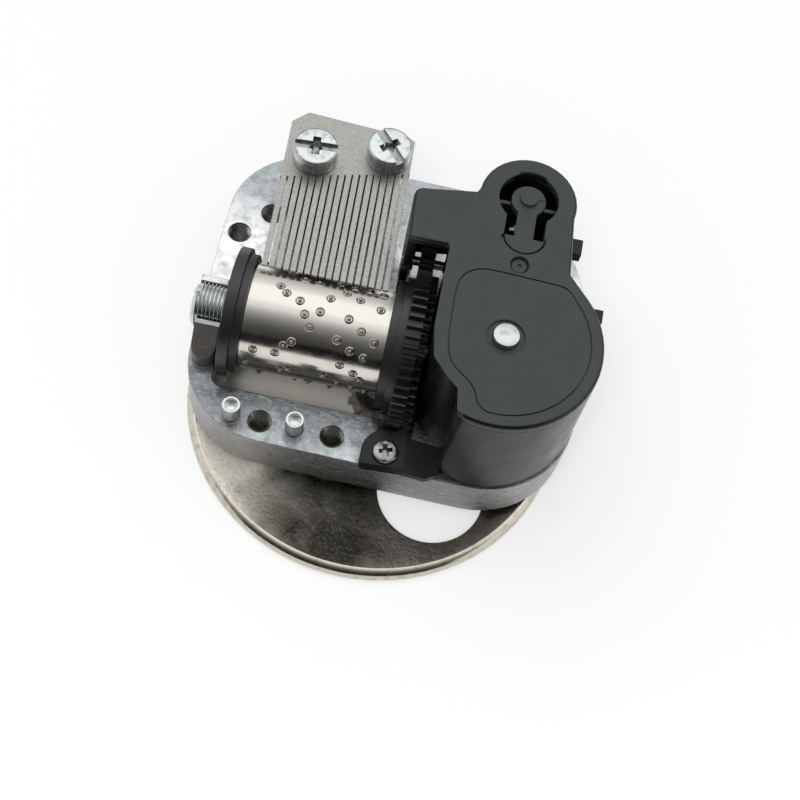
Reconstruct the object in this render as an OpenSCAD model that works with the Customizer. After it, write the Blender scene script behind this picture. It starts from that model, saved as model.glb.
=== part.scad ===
// Eighteen note wind-up music movement on a round turning disc.
// Origin: the disc's turning axis on its underside. +X runs along the drum towards the
// spring housing, +Y from the drum towards the comb's root, +Z up. Millimetres.

/* [Winding disc] */
// Radius of the disc
disc_r = 25; // [23:0.1:28]
// Thickness of the disc's sheet
disc_t = 0.9; // [0.6:0.1:1.2]
// Height of the disc's raised rim
rim_h = 1.7; // [1.4:0.1:2]
// Width of the raised rim
rim_w = 1.5; // [1:0.1:2.5]
// Radius of the finger hole
finger_hole_r = 7; // [5:0.1:7.5]
// Distance of the finger hole from the disc's axis
finger_hole_reach = 14.9; // [13:0.1:15.5]
// Direction of the finger hole, degrees from +X
finger_hole_angle = -50; // [-80:1:-20]
// Radius of the disc's centre hole
disc_bore_r = 2; // [1.7:0.1:2.3]
// Radius of the hub's flange
hub_r = 3.2; // [2.8:0.1:3.4]
// Thickness of the hub's flange
hub_flange_t = 1.1; // [0.9:0.1:1.4]
// Radius of the hub's shaft
hub_shaft_r = 0.95; // [0.8:0.01:1]

/* [Winding gears] */
// Teeth on the hub's pinion
hub_teeth = 12; // [12:1:14]
// Teeth on the arbor's gear
arbor_teeth = 36; // [34:1:38]
// Thickness of both winding gears
winding_gear_t = 1.2; // [0.8:0.1:1.4]

/* [Bedplate] */
// Gap between the disc's rim and the bedplate
plate_gap = 1.3; // [1.2:0.1:1.6]
// Height of the bedplate's side wall
plate_h = 7; // [6.6:0.1:8]
// Thickness of the bedplate's top web
plate_web_t = 2.8; // [2:0.1:3.2]
// Thickness of the bedplate's side wall
plate_wall = 1.3; // [1:0.1:1.4]
// Left edge, measured from the disc's axis
plate_left = 24.6; // [23.8:0.1:26]
// Right edge, measured from the disc's axis
plate_right = 24.9; // [24:0.1:26]
// Front edge, measured from the disc's axis
plate_front = 13.3; // [13:0.1:14.5]
// Back edge, measured from the disc's axis
plate_back = 30.4; // [30.2:0.1:33]
// Radius of the front left corner
front_corner_r = 11.3; // [9:0.1:11.5]
// Radius of the back left corner
back_corner_r = 10.5; // [8:0.1:11.5]
// Radius of the back right corner
far_corner_r = 16; // [13:0.1:16.5]
// Radius of the tapped fixing holes
tapped_r = 1.5; // [1.2:0.05:1.7]
// Height of the two hollow posts
post_h = 3; // [1.5:0.1:5]
// Outer radius of the hollow posts
post_r = 1.15; // [1.05:0.05:1.4]
// Bore radius of the hollow posts
post_bore_r = 0.8; // [0.5:0.05:0.9]

/* [Drum] */
// Height of the drum's axis above the bedplate
drum_axis_h = 3.95; // [3.9:0.05:4.3]
// Drum axis, measured back from the disc's axis
drum_axis_y = 1.88; // [1.6:0.02:2.1]
// Radius of the drum's sleeve
sleeve_r = 6.75; // [6.4:0.05:6.8]
// Wall of the sleeve
sleeve_wall = 0.6; // [0.4:0.05:0.8]
// Left end of the sleeve
sleeve_x0 = -17.9; // [-18:0.05:-17.7]
// Right end of the sleeve
sleeve_x1 = -0.1; // [-0.2:0.05:0]
// Height of the pins
pin_h = 0.33; // [0.2:0.01:0.35]
// Radius of the pins
pin_r = 0.24; // [0.15:0.01:0.3]
// Radius of the black end flanges
flange_r = 8.3; // [7.9:0.05:8.35]
// Thickness of the left flange
flange_t = 1.45; // [1:0.05:1.5]
// Tip radius of the drum gear
drum_gear_tip_r = 10.1; // [10:0.02:10.16]
// Teeth on the drum gear
drum_gear_teeth = 48; // [47:1:49]
// Width of the drum gear's teeth
drum_gear_w = 1.9; // [1.6:0.05:2]
// Radius of the drum's axle
axle_r = 0.75; // [0.6:0.01:0.85]
// Thread radius of the axle screw
axle_screw_r = 2.95; // [2.7:0.05:3.1]

/* [Comb] */
// Notes, one tooth each
notes = 18; // [17:1:18]
// Distance from tooth to tooth
note_pitch = 0.905; // [0.86:0.005:0.91]
// Width of the cut between two teeth
tooth_gap = 0.22; // [0.15:0.01:0.35]
// Height of the comb's top face above the bedplate
comb_h = 10.5; // [10.4:0.05:10.8]
// Thickness of the comb's root
comb_t = 1; // [0.8:0.05:1.2]
// Thickness of the teeth at their tips
tip_t = 0.4; // [0.3:0.05:0.5]
// Clearance between the teeth and the drum's pins
tip_gap = 0.12; // [0.1:0.01:0.4]
// Radius of the comb screws' heads
screw_head_r = 2.85; // [2.5:0.05:3]
// Height of the comb screws' heads
screw_head_h = 2.7; // [1.4:0.1:3]
// Thread radius of the comb screws
screw_r = 1.5; // [1.2:0.05:1.6]

/* [Spring housing] */
// Winding arbor, measured right of the disc's axis
arbor_x = 13.53; // [13.5:0.01:13.6]
// Winding arbor, measured back from the disc's axis
arbor_y = -1.43; // [-1.5:0.01:-1.3]
// Outer radius of the round part
housing_r = 11.9; // [11.7:0.05:12]
// Height of the housing, lid included, above the bedplate
housing_h = 17.6; // [17.5:0.1:19]
// Wall thickness
housing_wall = 1; // [0.8:0.05:1.1]
// Thickness of the lid
lid_t = 1.2; // [1:0.05:1.4]
// Radius of the round lobe over the fan
lobe_r = 6.15; // [6.1:0.05:6.5]
// Radius of the fan window in the lid
fan_window_r = 3.75; // [3.5:0.05:3.8]
// Thickness of the screwed foot
foot_t = 2; // [1.6:0.1:2.6]

/* [Spring and arbor] */
// Radius of the arbor's upper end
arbor_r = 1.6; // [1.4:0.05:1.7]
// Height of the arbor's end above the lid
arbor_stub = 0.6; // [0.3:0.1:1.5]
// Outer radius of the spring barrel
barrel_r = 6.9; // [6.6:0.05:7]
// Wall of the spring barrel
barrel_wall = 0.5; // [0.4:0.05:0.6]
// Height of the spring barrel
barrel_h = 12; // [9:0.1:13]
// Thickness of the spring strip
spring_t = 0.25; // [0.2:0.01:0.3]
// Turns of the spring strip
spring_turns = 5; // [4:1:5]
// Depth to which the drive wheel enters the drum's crown teeth
crown_mesh = 0.3; // [0.2:0.01:0.4]

/* [Governor] */
// Teeth on the governor's pinion
pinion_teeth = 8; // [8:1:9]
// Teeth on the worm wheel
worm_wheel_teeth = 24; // [22:1:25]
// Pitch radius of the worm
worm_r = 1.1; // [1.05:0.01:1.2]
// Threads side by side on the worm
worm_starts = 2; // [1:1:3]
// Radius of the fan's blades
fan_r = 4.4; // [3.6:0.1:4.6]
// Height of the fan's blades
fan_h = 2; // [1.2:0.1:2.1]

/* [Hidden] */
$fn = 48;
// Radial clearance of a shaft in its bore
run = 0.04;
// Overlap that lets one solid join another, and lets a cutter pass a face
lap = 0.2;

plate_z0 = rim_h + plate_gap;
plate_top = plate_z0 + plate_h;
web_z = plate_top - plate_web_t;
drum_z = plate_top + drum_axis_h;
arbor_pos = [arbor_x, arbor_y];
gear_span = norm(arbor_pos);
arbor_dir = atan2(arbor_y, arbor_x);

// Winding gears: pitch radii share the distance from the disc's axis to the arbor
hub_pitch_r = gear_span * hub_teeth / (hub_teeth + arbor_teeth);
arbor_pitch_r = gear_span - hub_pitch_r;
winding_addendum = 0.42;
winding_dedendum = 0.6;
winding_gear_z = disc_t + hub_flange_t;
winding_gear_top = winding_gear_z + winding_gear_t;

// Stack of wheels under the bedplate's web, on the arbor
ratchet_z = winding_gear_top + 0.3;
ratchet_t = 0.7;
ratchet_r = 4.6;
ratchet_teeth = 14;
drive_wheel_z = plate_z0 + 1.6;
drive_wheel_t = 0.8;

// Drum, from left to right
left_flange_x = sleeve_x0 - 1;
left_collar_r = 7.64;
gear_flange_t = 1.1;
gear_ring_t = 0.9;
gear_ring_r = 8.9;
drum_gear_x = sleeve_x1 + gear_flange_t + gear_ring_t;
crown_x = drum_gear_x + drum_gear_w;
crown_t = 0.9;
crown_x1 = crown_x + crown_t;
crown_inner_r = 8.6;
crown_tip_r = crown_inner_r + 1;
spigot_l = 2.5;
pin_tip_r = sleeve_r + pin_h;

// Governor axle: spur pair with the drum gear
pinion_tip = 0.36;
pinion_dedendum = 0.5;
gear_addendum = 0.41;
drum_pitch_r = drum_gear_tip_r - gear_addendum;
pinion_pitch_r = drum_pitch_r * pinion_teeth / drum_gear_teeth;
governor_dir = 20;
governor_span = drum_pitch_r + pinion_pitch_r;
governor_y = drum_axis_y + governor_span * cos(governor_dir);
governor_z = drum_z + governor_span * sin(governor_dir);
governor_r = 0.6;
governor_pivot_r = 0.35;

// Fan shaft: its worm meets the worm wheel's back
fan_x = arbor_x;
fan_y = arbor_y + 20.03;
wheel_pitch_r = fan_y - governor_y - worm_r;
wheel_addendum = 0.3;
wheel_dedendum = 0.45;
wheel_t = 0.7;
worm_lead = 2 * PI * wheel_pitch_r / worm_wheel_teeth * worm_starts;
worm_len = 6;
worm_depth = 0.35;
fan_shaft_r = 0.5;
fan_pivot_r = 0.35;

// Comb: the teeth lean by a small angle, seen from above
comb_top = plate_top + comb_h;
comb_lean = 1.9;
tip_low_z = comb_top - tip_t - drum_z;
tip_y = drum_axis_y + sqrt(pow(pin_tip_r + tip_gap, 2) - pow(tip_low_z, 2));
note_x0 = sleeve_x0 + 0.95;
root_y_left = 19.1;
root_y_right = 23.6;
comb_back_y = plate_back - 0.5;
comb_left = note_x0 - note_pitch / 2;
comb_right = comb_left + notes * note_pitch;
comb_screw_pos = [
    [comb_left + screw_head_r + 0.45, comb_back_y - 6.95],
    [comb_right - screw_head_r - 0.94, comb_back_y - 4.45]
];
pillar_inset = 0.5;

// Housing heights
lid_z = plate_top + housing_h - lid_t;
housing_top = lid_z + lid_t;
lobe_c = [fan_x, fan_y];
block_left = -0.45;
block_back = 17.2;
neck_right = 20.1;
notch_wall_x = crown_x1 + 0.35;
notch_x = notch_wall_x - 0.05;
notch_y = 9.5;

// Air brake: hangs under the lid by a named clearance
fan_gap = 0.5;
fan_z = lid_z - fan_gap - fan_h;

// Foot: a boss round its screw, then a thin flange towards the round wall
foot_screw_pos = arbor_pos - housing_r * [0.92, 0.896];
foot_screw_r = 1;
foot_r = 3.05;
foot_x0 = foot_screw_pos[0] - foot_r;
foot_x1 = foot_screw_pos[0] + 2.6;
foot_y0 = -plate_front - 0.8;
foot_flange_t = foot_t / 2;
foot_head_r = 1.6;

// Lid details
lid_screw_pos = [fan_x + 0.2, fan_y - 2.6 * fan_window_r];
lid_sink = 0.15;
tongue_w = 2.35;
slot_w = 5;
slot_y0 = fan_y - 1.53 * fan_window_r;

// Barrel and its hub, which turns in the bedplate's web
barrel_z = plate_top + 0.4;
hub_bore_r = 3.55;
barrel_hub_r = hub_bore_r - run;
arbor_core_r = 2.3;
drive_tip_r = arbor_x - (crown_x1 - crown_mesh);
drive_depth = 0.8;

// Tune: for each note, the sixtieths of a turn at which its tooth is plucked
tune = [
    [30, 44, 56, 2, 9], [26, 38, 51, 5], [16, 42, 58, 7], [13, 33, 47, 1], [14, 26, 40, 54],
    [24, 31, 49, 4], [15, 23, 30, 57], [18, 35, 46, 8], [20, 39, 52, 3], [17, 34, 48, 10],
    [14, 29, 43, 55], [25, 32, 50, 6], [21, 37, 53, 0], [17, 25, 41, 59], [13, 22, 36, 45],
    [19, 30, 47, 9], [23, 27, 51, 2], [14, 20, 28, 56, 5]
];
tune_step = 6;

// Points along an arc
function arc(c, r, from, to, steps = 12) =
    [for (i = [0 : steps]) let (a = from + (to - from) * i / steps) c + r * [cos(a), sin(a)]];

// Outline of a gear with straight sided teeth, tooth 0 centred on +X
function gear_outline(teeth, root_r, tip_r, root_part = 0.52, tip_part = 0.24) = [
    for (i = [0 : teeth - 1])
        for (p = [[-root_part, root_r], [-tip_part, tip_r], [tip_part, tip_r], [root_part, root_r]])
            let (a = 360 * (i + p[0] / 2) / teeth) p[1] * [cos(a), sin(a)]
];

// A cylinder along X from x0 to x1, round the drum's axis or another one
module along_x(r, x0, x1, y = drum_axis_y, z = drum_z) {
    translate([x0, y, z]) rotate([0, 90, 0]) cylinder(r = r, h = x1 - x0);
}

// A flat outline in the Y-Z plane, extruded along +X from x0
module extrude_x(x0, depth, y = drum_axis_y, z = drum_z) {
    translate([x0, y, z]) rotate([90, 0, 90]) linear_extrude(depth) children();
}

// A vertical cylinder between two heights
module post(pos, r, z0, z1) {
    translate([pos[0], pos[1], z0]) cylinder(r = r, h = z1 - z0);
}

// A block between two corners
module block(low, high) {
    translate(low) cube(high - low);
}

// Outline of the bedplate, drawn in by an inset
function plate_outline(inset = 0) = concat(
    arc([front_corner_r - plate_left, front_corner_r - plate_front], front_corner_r - inset, 180, 270),
    arc(arbor_pos, housing_r + 0.3 - inset, 270, 358),
    arc([plate_right - far_corner_r, plate_back - far_corner_r], far_corner_r - inset, 0, 90),
    arc([back_corner_r - plate_left, plate_back - back_corner_r], back_corner_r - inset, 90, 180)
);

// Tapped fixing holes, open to the top
tapped_holes = [[-13.65, -10.55], [-4.35, -10.55], [-22.4, 16.1], [-18.75, 20.05]];
post_holes = [[-17.3, -10.5], [-9.2, -10.7]];
window_x0 = -20.9;
window_y0 = -6.8;
window_y1 = 11;
window_r = 1.2;
arm_w = 4;
arm_t = 1;
arm_z = winding_gear_top + 0.3;
boss_r = 3;
boss_flat_x = drum_gear_x - 0.35;
saddle_x = [-24.8, -21.3];
tongue_x = [-24.1, -21];
saddle_z = drum_z + 1.2;
tongue_slope = 42;

module window_cut() {
    translate([0, 0, plate_z0 - lap]) linear_extrude(plate_h + 2 * lap) polygon(concat(
        arc([window_x0 + window_r, window_y0 + window_r], window_r, 180, 270, 6),
        [[drum_gear_x - 0.7, window_y0], [drum_gear_x - 0.7, window_y0 - 1.9]],
        [[crown_x1 + 0.8, window_y0 - 1.9], [crown_x1 + 0.8, window_y1 + 1.6]],
        [[drum_gear_x - 0.7, window_y1 + 1.6], [drum_gear_x - 0.7, window_y1]],
        arc([window_x0 + window_r, window_y1 - window_r], window_r, 90, 180, 6)
    ));
}

// The saddle that clamps the axle screw: a thin rear jaw and a front tongue
module saddle() union() {
    block([saddle_x[0], drum_axis_y, web_z],
        [saddle_x[1], drum_axis_y + axle_screw_r + 0.9, saddle_z - 0.1]);
    saddle_tongue();
}

// The front tongue has a round end, and slopes down from its top edge
module saddle_tongue() difference() {
    union() {
        block([tongue_x[0], drum_axis_y - axle_screw_r - 2.2, web_z], [tongue_x[1], drum_axis_y, saddle_z]);
        post([(tongue_x[0] + tongue_x[1]) / 2, drum_axis_y - axle_screw_r - 2.2],
            (tongue_x[1] - tongue_x[0]) / 2, web_z, saddle_z);
    }
    translate([0, drum_axis_y - axle_screw_r - 0.35, saddle_z]) rotate([tongue_slope, 0, 0])
        block([tongue_x[0] - lap, -10, 0], [tongue_x[1] + lap, 0, 10]);
}

module bedplate() color("gainsboro") union() {
    disc_bridge();
    plate_casting();
}

module plate_casting() difference() {
    union() {
        difference() {
            translate([0, 0, plate_z0]) linear_extrude(plate_h) polygon(plate_outline());
            translate([0, 0, plate_z0 - lap]) linear_extrude(web_z - plate_z0 + lap)
                polygon(plate_outline(plate_wall));
        }
        for (p = tapped_holes) post(p, tapped_r + 1, plate_z0 + 0.4, plate_top - lap);
        for (p = post_holes) post(p, post_r, web_z + lap, plate_top + post_h);
        saddle();
        // Boss under the foot's screw
        intersection() {
            post(foot_screw_pos, foot_screw_r + 1.2, plate_z0 + 1, web_z + lap);
            linear_extrude(plate_top) polygon(plate_outline());
        }
        // Rim of the window, down to the wall's lower edge
        block([window_x0 - 1, window_y0 - 1, plate_z0 + 1], [drum_gear_x - 0.7, window_y0 + lap, web_z + lap]);
        block([window_x0 - 1, window_y1 - lap, plate_z0 + 1], [drum_gear_x - 0.7, window_y1 + 1, web_z + lap]);
        // Pillar under the comb's root
        translate([0, 0, web_z]) linear_extrude(comb_top - comb_t - web_z) polygon([
            [-17.2, root_y_left + 1.2], [-2.9, root_y_right + 1.1],
            [-2.9, comb_back_y - pillar_inset - 0.2], [-15.6, comb_back_y - pillar_inset],
            [-17.4, comb_back_y - pillar_inset - 2]]);
    }
    window_cut();
    along_x(axle_screw_r, saddle_x[0] - 1, saddle_x[1] + 1);
    for (p = tapped_holes) post(p, tapped_r, plate_z0 - lap, plate_top + lap);
    for (p = post_holes) post(p, post_bore_r, plate_top + post_h - 1.1, plate_top + post_h + lap);
    for (p = comb_screw_pos) post(p, screw_r, comb_top - comb_t - 7, comb_top);
    post(foot_screw_pos, foot_screw_r, plate_z0 - lap, plate_top + lap);
    post(arbor_pos, hub_bore_r, web_z - lap, plate_top + lap);
}

// Bridge under the drum that carries the disc's shaft
module disc_bridge() difference() {
    union() {
        intersection() {
            post([0, 0], boss_r, arm_z, arm_z + arm_t);
            block([-boss_r, -boss_r, 0], [boss_flat_x, boss_r, plate_top]);
        }
        block([boss_flat_x - arm_w, 0, arm_z], [boss_flat_x - 0.4, window_y1 + 0.9, arm_z + arm_t]);
    }
    post([0, 0], hub_shaft_r + run, 0, plate_top);
}

module axle_screw() color("lightsteelblue") difference() {
    union() {
        along_x(axle_screw_r - 0.35, saddle_x[0] - 0.2, sleeve_x0 - 2.6);
        for (x = [saddle_x[0] - 0.2 : 0.72 : sleeve_x0 - 3.1])
            extrude_x(x, 0.38) circle(axle_screw_r);
    }
    along_x(axle_r + run, saddle_x[0] + 1.5, sleeve_x0);
    block([saddle_x[0] - 1, drum_axis_y - 0.35, drum_z - 4], [saddle_x[0] + 0.3, drum_axis_y + 0.35, drum_z + 4]);
}

// Sideways lean of the comb at a distance back from its tips
function lean(y) = -(y - tip_y) * tan(comb_lean);

module comb() color("silver") difference() {
    union() {
        // Root, full thickness
        translate([0, 0, comb_top - comb_t]) linear_extrude(comb_t) polygon([
            [comb_left + lean(root_y_left), root_y_left], [comb_right + lean(root_y_right), root_y_right],
            [comb_right + lean(comb_back_y - 1), comb_back_y - 1.1],
            [comb_right + lean(comb_back_y) - 0.9, comb_back_y - 0.6],
            [comb_left + lean(comb_back_y) + 1.9, comb_back_y],
            [comb_left + lean(comb_back_y), comb_back_y - 1.9]]);
        // Teeth, thin at the tips
        for (i = [0 : notes - 1]) {
            back = root_y_left + (root_y_right - root_y_left) * i / (notes - 1) + 0.4;
            x = comb_left + note_pitch * i + tooth_gap / 2;
            w = note_pitch - tooth_gap;
            translate([0, 0, comb_top - tip_t]) linear_extrude(tip_t) polygon([
                [x, tip_y], [x + w, tip_y], [x + w + lean(back), back], [x + lean(back), back]]);
        }
    }
    for (p = comb_screw_pos) post(p, screw_r + 0.1, comb_top - comb_t - lap, comb_top + lap);
}

module comb_screws() color("lightsteelblue") for (i = [0, 1]) {
    p = comb_screw_pos[i];
    difference() {
        union() {
            post(p, screw_head_r, comb_top, comb_top + screw_head_h);
            post(p, screw_r, comb_top - comb_t - 6, comb_top + lap);
        }
        translate([p[0], p[1], comb_top + screw_head_h - 0.9]) rotate([0, 0, i == 0 ? 5 : -50]) {
            translate([-screw_head_r - 1, -0.4, 0]) cube([2 * screw_head_r + 2, 0.8, 2]);
            translate([-0.4, -1.5, 0]) cube([0.8, 3, 2]);
        }
    }
}

// Outline of the housing seen from above: round over the spring, with a block and a lobe
// behind it, and a notch on the left for the drum gear
function housing_outline(inset = 0, notch = notch_x) = concat(
    arc(arbor_pos, housing_r - inset, 250 + 3 * inset, 405 - 2 * inset, 30),
    [[neck_right - inset, 9.1]],
    arc(lobe_c, lobe_r - inset, -12, 176, 20),
    [[lobe_c[0] - lobe_r - 0.35 + inset, block_back + 1.1 - inset]],
    [[block_left + 1.2, block_back - inset]],
    arc([block_left + 1.1, block_back - 1.2], 1.2 - inset, 105, 180, 3),
    [[block_left + inset + 0.3, notch_y + inset], [notch + inset - 0.4, notch_y + inset]],
    [[notch + inset, notch_y - 0.4], [notch + inset, -2], [notch + inset + 0.6, -5.9]],
    [[notch + inset + 2.6, -8.2 + inset / 2], [notch + inset + 4, -9.4 + inset / 2]]
);

module spring_housing() color([0.2, 0.21, 0.21]) difference() {
    union() {
        difference() {
            translate([0, 0, plate_top]) linear_extrude(lid_z - plate_top)
                polygon(housing_outline(0, notch_wall_x));
            translate([0, 0, plate_top - lap]) linear_extrude(lid_z - plate_top + 2 * lap)
                polygon(housing_outline(housing_wall, notch_wall_x));
        }
        // Foot with the screw, between the drum gear and the round wall
        translate([0, 0, plate_top]) linear_extrude(foot_t) polygon(concat(
            [[foot_x1 - 0.2, foot_screw_pos[1] + foot_r]], arc(foot_screw_pos, foot_r, 90, 180, 8),
            arc([foot_x0 + 0.6, foot_y0 + 0.6], 0.6, 180, 270, 4), [[foot_x1, foot_y0 + 0.3]]));
        translate([0, 0, plate_top]) linear_extrude(foot_flange_t) polygon([
            [foot_x1 - 1, foot_y0 + 0.3], [foot_x1 + 2.8, foot_y0], [arbor_x - 3.1, arbor_y - housing_r + 0.6],
            [arbor_x - 4.5, arbor_y - 8], [foot_x1 - 1, foot_screw_pos[1] + foot_r]]);
        // Pad that holds the drum's right bearing
        block([notch_wall_x, drum_axis_y - 2, drum_z - 2], [notch_wall_x + 1.2, drum_axis_y + 2, drum_z + 2]);
        // Snap tabs on the right
        block([neck_right - 1, fan_y - 3.4, lid_z - 5], [neck_right + 1.5, fan_y - 1.2, lid_z - 3.4]);
        block([arbor_x + 8.6, 4.6, lid_z - 2.6], [arbor_x + 11.4, 6.3, lid_z - 1]);
    }
    // Opening under the block's back wall
    block([drum_gear_x - 0.7, block_back - 1.6, plate_top - lap],
        [notch_wall_x + 0.4, block_back + 2, plate_top + 4]);
    // Room for the drum gear, towards which the block is open
    along_x(drum_gear_tip_r + 0.4, block_left - 1, notch_wall_x);
    block([block_left + housing_wall + 0.4, notch_y - lap, plate_top - lap],
        [notch_wall_x + housing_wall, notch_y + housing_wall + lap, lid_z + lap]);
    along_x(1.2, notch_wall_x - lap, notch_wall_x + 1.2 + lap);
    along_x(governor_pivot_r + run, block_left - 1, block_left + 2, governor_y, governor_z);
    post(foot_screw_pos, foot_screw_r + 0.1, plate_top - lap, plate_top + foot_t + lap);
    post(foot_screw_pos, foot_head_r + 0.1, plate_top + foot_t - 0.4, plate_top + foot_t + lap);
}

// Fan window in the lid: a round hole with two slots below it
module fan_window() union() {
    translate(lobe_c) circle(fan_window_r);
    translate([fan_x + 0.1 - slot_w / 2, slot_y0]) square([slot_w, fan_window_r]);
}

// Tongue between the slots, with a round head under the fan's upper pivot
module tongue() union() {
    translate([fan_x, fan_y - 0.2]) circle(2.15);
    translate([fan_x + 0.1 - tongue_w / 2, slot_y0 - lap]) square([tongue_w, fan_y - slot_y0]);
}

module housing_lid() color([0.28, 0.29, 0.29]) difference() {
    union() {
        translate([0, 0, lid_z]) linear_extrude(lid_t) difference() {
            polygon(housing_outline());
            fan_window();
        }
        translate([0, 0, lid_z]) linear_extrude(lid_t - lid_sink) tongue();
        post(lobe_c, 1.1, lid_z, housing_top + 0.25);
        post(lid_screw_pos, 2, lid_z - 1.2, lid_z + lap);
    }
    post([fan_x + 0.2, slot_y0 + 0.4], slot_w / 2, housing_top - lid_sink, housing_top + lap);
    post(arbor_pos, arbor_r + run, lid_z - lap, housing_top + lap);
    post(arbor_pos, arbor_r + 0.75, housing_top - 0.3, housing_top + lap);
    post(lobe_c, fan_pivot_r + run, lid_z - 1, housing_top - 0.5);
    post(lid_screw_pos, 0.6, lid_z - 1.2 - lap, housing_top);
    post(lid_screw_pos, 1.2, housing_top - 0.7, housing_top + lap);
}

module foot_screw() color("lightsteelblue") difference() {
    union() {
        post(foot_screw_pos, foot_head_r, plate_top + foot_t - 0.4, plate_top + foot_t + 0.6);
        post(foot_screw_pos, foot_screw_r, plate_z0 + 1, plate_top + foot_t - 0.3);
    }
    post(foot_screw_pos, foot_head_r / 2, plate_top + foot_t, plate_top + foot_t + 1);
}

module lid_screw() color([0.3, 0.31, 0.31]) difference() {
    union() {
        post(lid_screw_pos, 0.95, housing_top - 0.7, housing_top - 0.35);
        post(lid_screw_pos, 0.6, lid_z - 1.1, housing_top - 0.6);
    }
    post(lid_screw_pos, 0.3, housing_top - 0.6, housing_top + lap);
}

module drum_bearing() color("darkgoldenrod") difference() {
    along_x(1.2, notch_wall_x, notch_wall_x + 1.2);
    along_x(axle_r + run, notch_wall_x - lap, notch_wall_x + 1.4);
}

// Post that carries the right end of the governor's arbor
bracket_x = fan_x + 2.4;
module governor_bracket() color("darkgray") difference() {
    union() {
        block([bracket_x, governor_y - 1.5, plate_top], [bracket_x + 1, governor_y + 1.5, governor_z + 1.5]);
        block([bracket_x, governor_y - 1.5, plate_top], [bracket_x + 2.6, governor_y + 1.5, plate_top + 0.8]);
    }
    along_x(governor_pivot_r + run, bracket_x - lap, bracket_x + 1.2, governor_y, governor_z);
}

module fan_bearing() color("darkgoldenrod") difference() {
    post(lobe_c, 1.4, plate_top, plate_top + 1.6);
    post(lobe_c, fan_pivot_r + run, plate_top + 0.4, plate_top + 2);
}

// Click: a pawl on a pin under the web, its nose in the ratchet wheel's teeth
click_reach = 10.6;
click_len = 7;
click_nose_r = ratchet_r + 0.3;
click_bend = acos((click_reach * click_reach + click_len * click_len - click_nose_r * click_nose_r)
    / (2 * click_reach * click_len));
click_dir = 62;
click_pos = arbor_pos + click_reach * [cos(click_dir), sin(click_dir)];
module click() color("darkgray") difference() {
    union() {
        post(click_pos, 1.1, ratchet_z, ratchet_z + ratchet_t);
        translate([click_pos[0], click_pos[1], ratchet_z]) rotate([0, 0, click_dir + 180 - click_bend])
            linear_extrude(ratchet_t) polygon([[0, -0.9], [click_len - 0.3, -0.6], [click_len, 0], [0, 0.9]]);
    }
    post(click_pos, 0.62, ratchet_z - lap, ratchet_z + ratchet_t + lap);
}

module click_screw() color("lightsteelblue") union() {
    post(click_pos, 0.6, ratchet_z, web_z);
    post(click_pos, 0.9, ratchet_z + ratchet_t + 0.05, web_z);
}

module drum_sleeve() color("wheat") union() {
    difference() {
        along_x(sleeve_r, sleeve_x0, sleeve_x1);
        along_x(sleeve_r - sleeve_wall, sleeve_x0 - lap, sleeve_x1 + lap);
    }
    for (i = [0 : notes - 1])
        for (s = tune[i])
            translate([note_x0 + note_pitch * i, drum_axis_y, drum_z]) rotate([s * tune_step - 90, 0, 0])
                translate([0, 0, sleeve_r - 0.3]) cylinder(r = pin_r, h = pin_h + 0.3, $fn = 16);
}

module drum_left_cap() color([0.13, 0.13, 0.14]) difference() {
    union() {
        along_x(flange_r, left_flange_x - flange_t, left_flange_x);
        along_x(left_collar_r, left_flange_x - lap, sleeve_x0);
        along_x(sleeve_r - sleeve_wall, sleeve_x0 - lap, sleeve_x0 + spigot_l);
    }
    along_x(axle_r, left_flange_x - flange_t - lap, sleeve_x0 + spigot_l + lap);
}

module drum_gear() color([0.13, 0.13, 0.14]) difference() {
    union() {
        along_x(sleeve_r - sleeve_wall, sleeve_x1 - spigot_l, sleeve_x1 + lap);
        along_x(flange_r, sleeve_x1, sleeve_x1 + gear_flange_t + lap);
        along_x(gear_ring_r, sleeve_x1 + gear_flange_t, drum_gear_x + lap);
        extrude_x(drum_gear_x, drum_gear_w) rotate(governor_dir)
            polygon(gear_outline(drum_gear_teeth, drum_pitch_r - 0.5, drum_gear_tip_r));
        extrude_x(crown_x - lap, crown_t + lap) rotate(governor_dir) for (i = [0 : drum_gear_teeth - 1])
            rotate(360 * i / drum_gear_teeth) translate([crown_inner_r, -0.17])
                square([crown_tip_r - crown_inner_r, 0.34]);
    }
    along_x(axle_r, sleeve_x1 - spigot_l - lap, crown_x1 + lap);
}

module drum_axle() color("lightsteelblue") along_x(axle_r, saddle_x[0] + 1.8, notch_wall_x + 1.1);

// Barrel: cup above the web, hub through the web
module spring_barrel() color("darkgray") difference() {
    union() {
        post(arbor_pos, barrel_r, barrel_z, barrel_z + barrel_h);
        post(arbor_pos, barrel_hub_r, drive_wheel_z + drive_wheel_t, barrel_z + lap);
        post(arbor_pos, 2.6, drive_wheel_z, drive_wheel_z + drive_wheel_t + lap);
    }
    post(arbor_pos, barrel_r - barrel_wall, barrel_z + 0.8, barrel_z + barrel_h + lap);
    post(arbor_pos, arbor_r + run, 0, plate_top + housing_h);
}

module barrel_cover() color("darkgray") difference() {
    post(arbor_pos, barrel_r, barrel_z + barrel_h, barrel_z + barrel_h + 0.7);
    post(arbor_pos, arbor_r + run, barrel_z, plate_top + housing_h);
}

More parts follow.
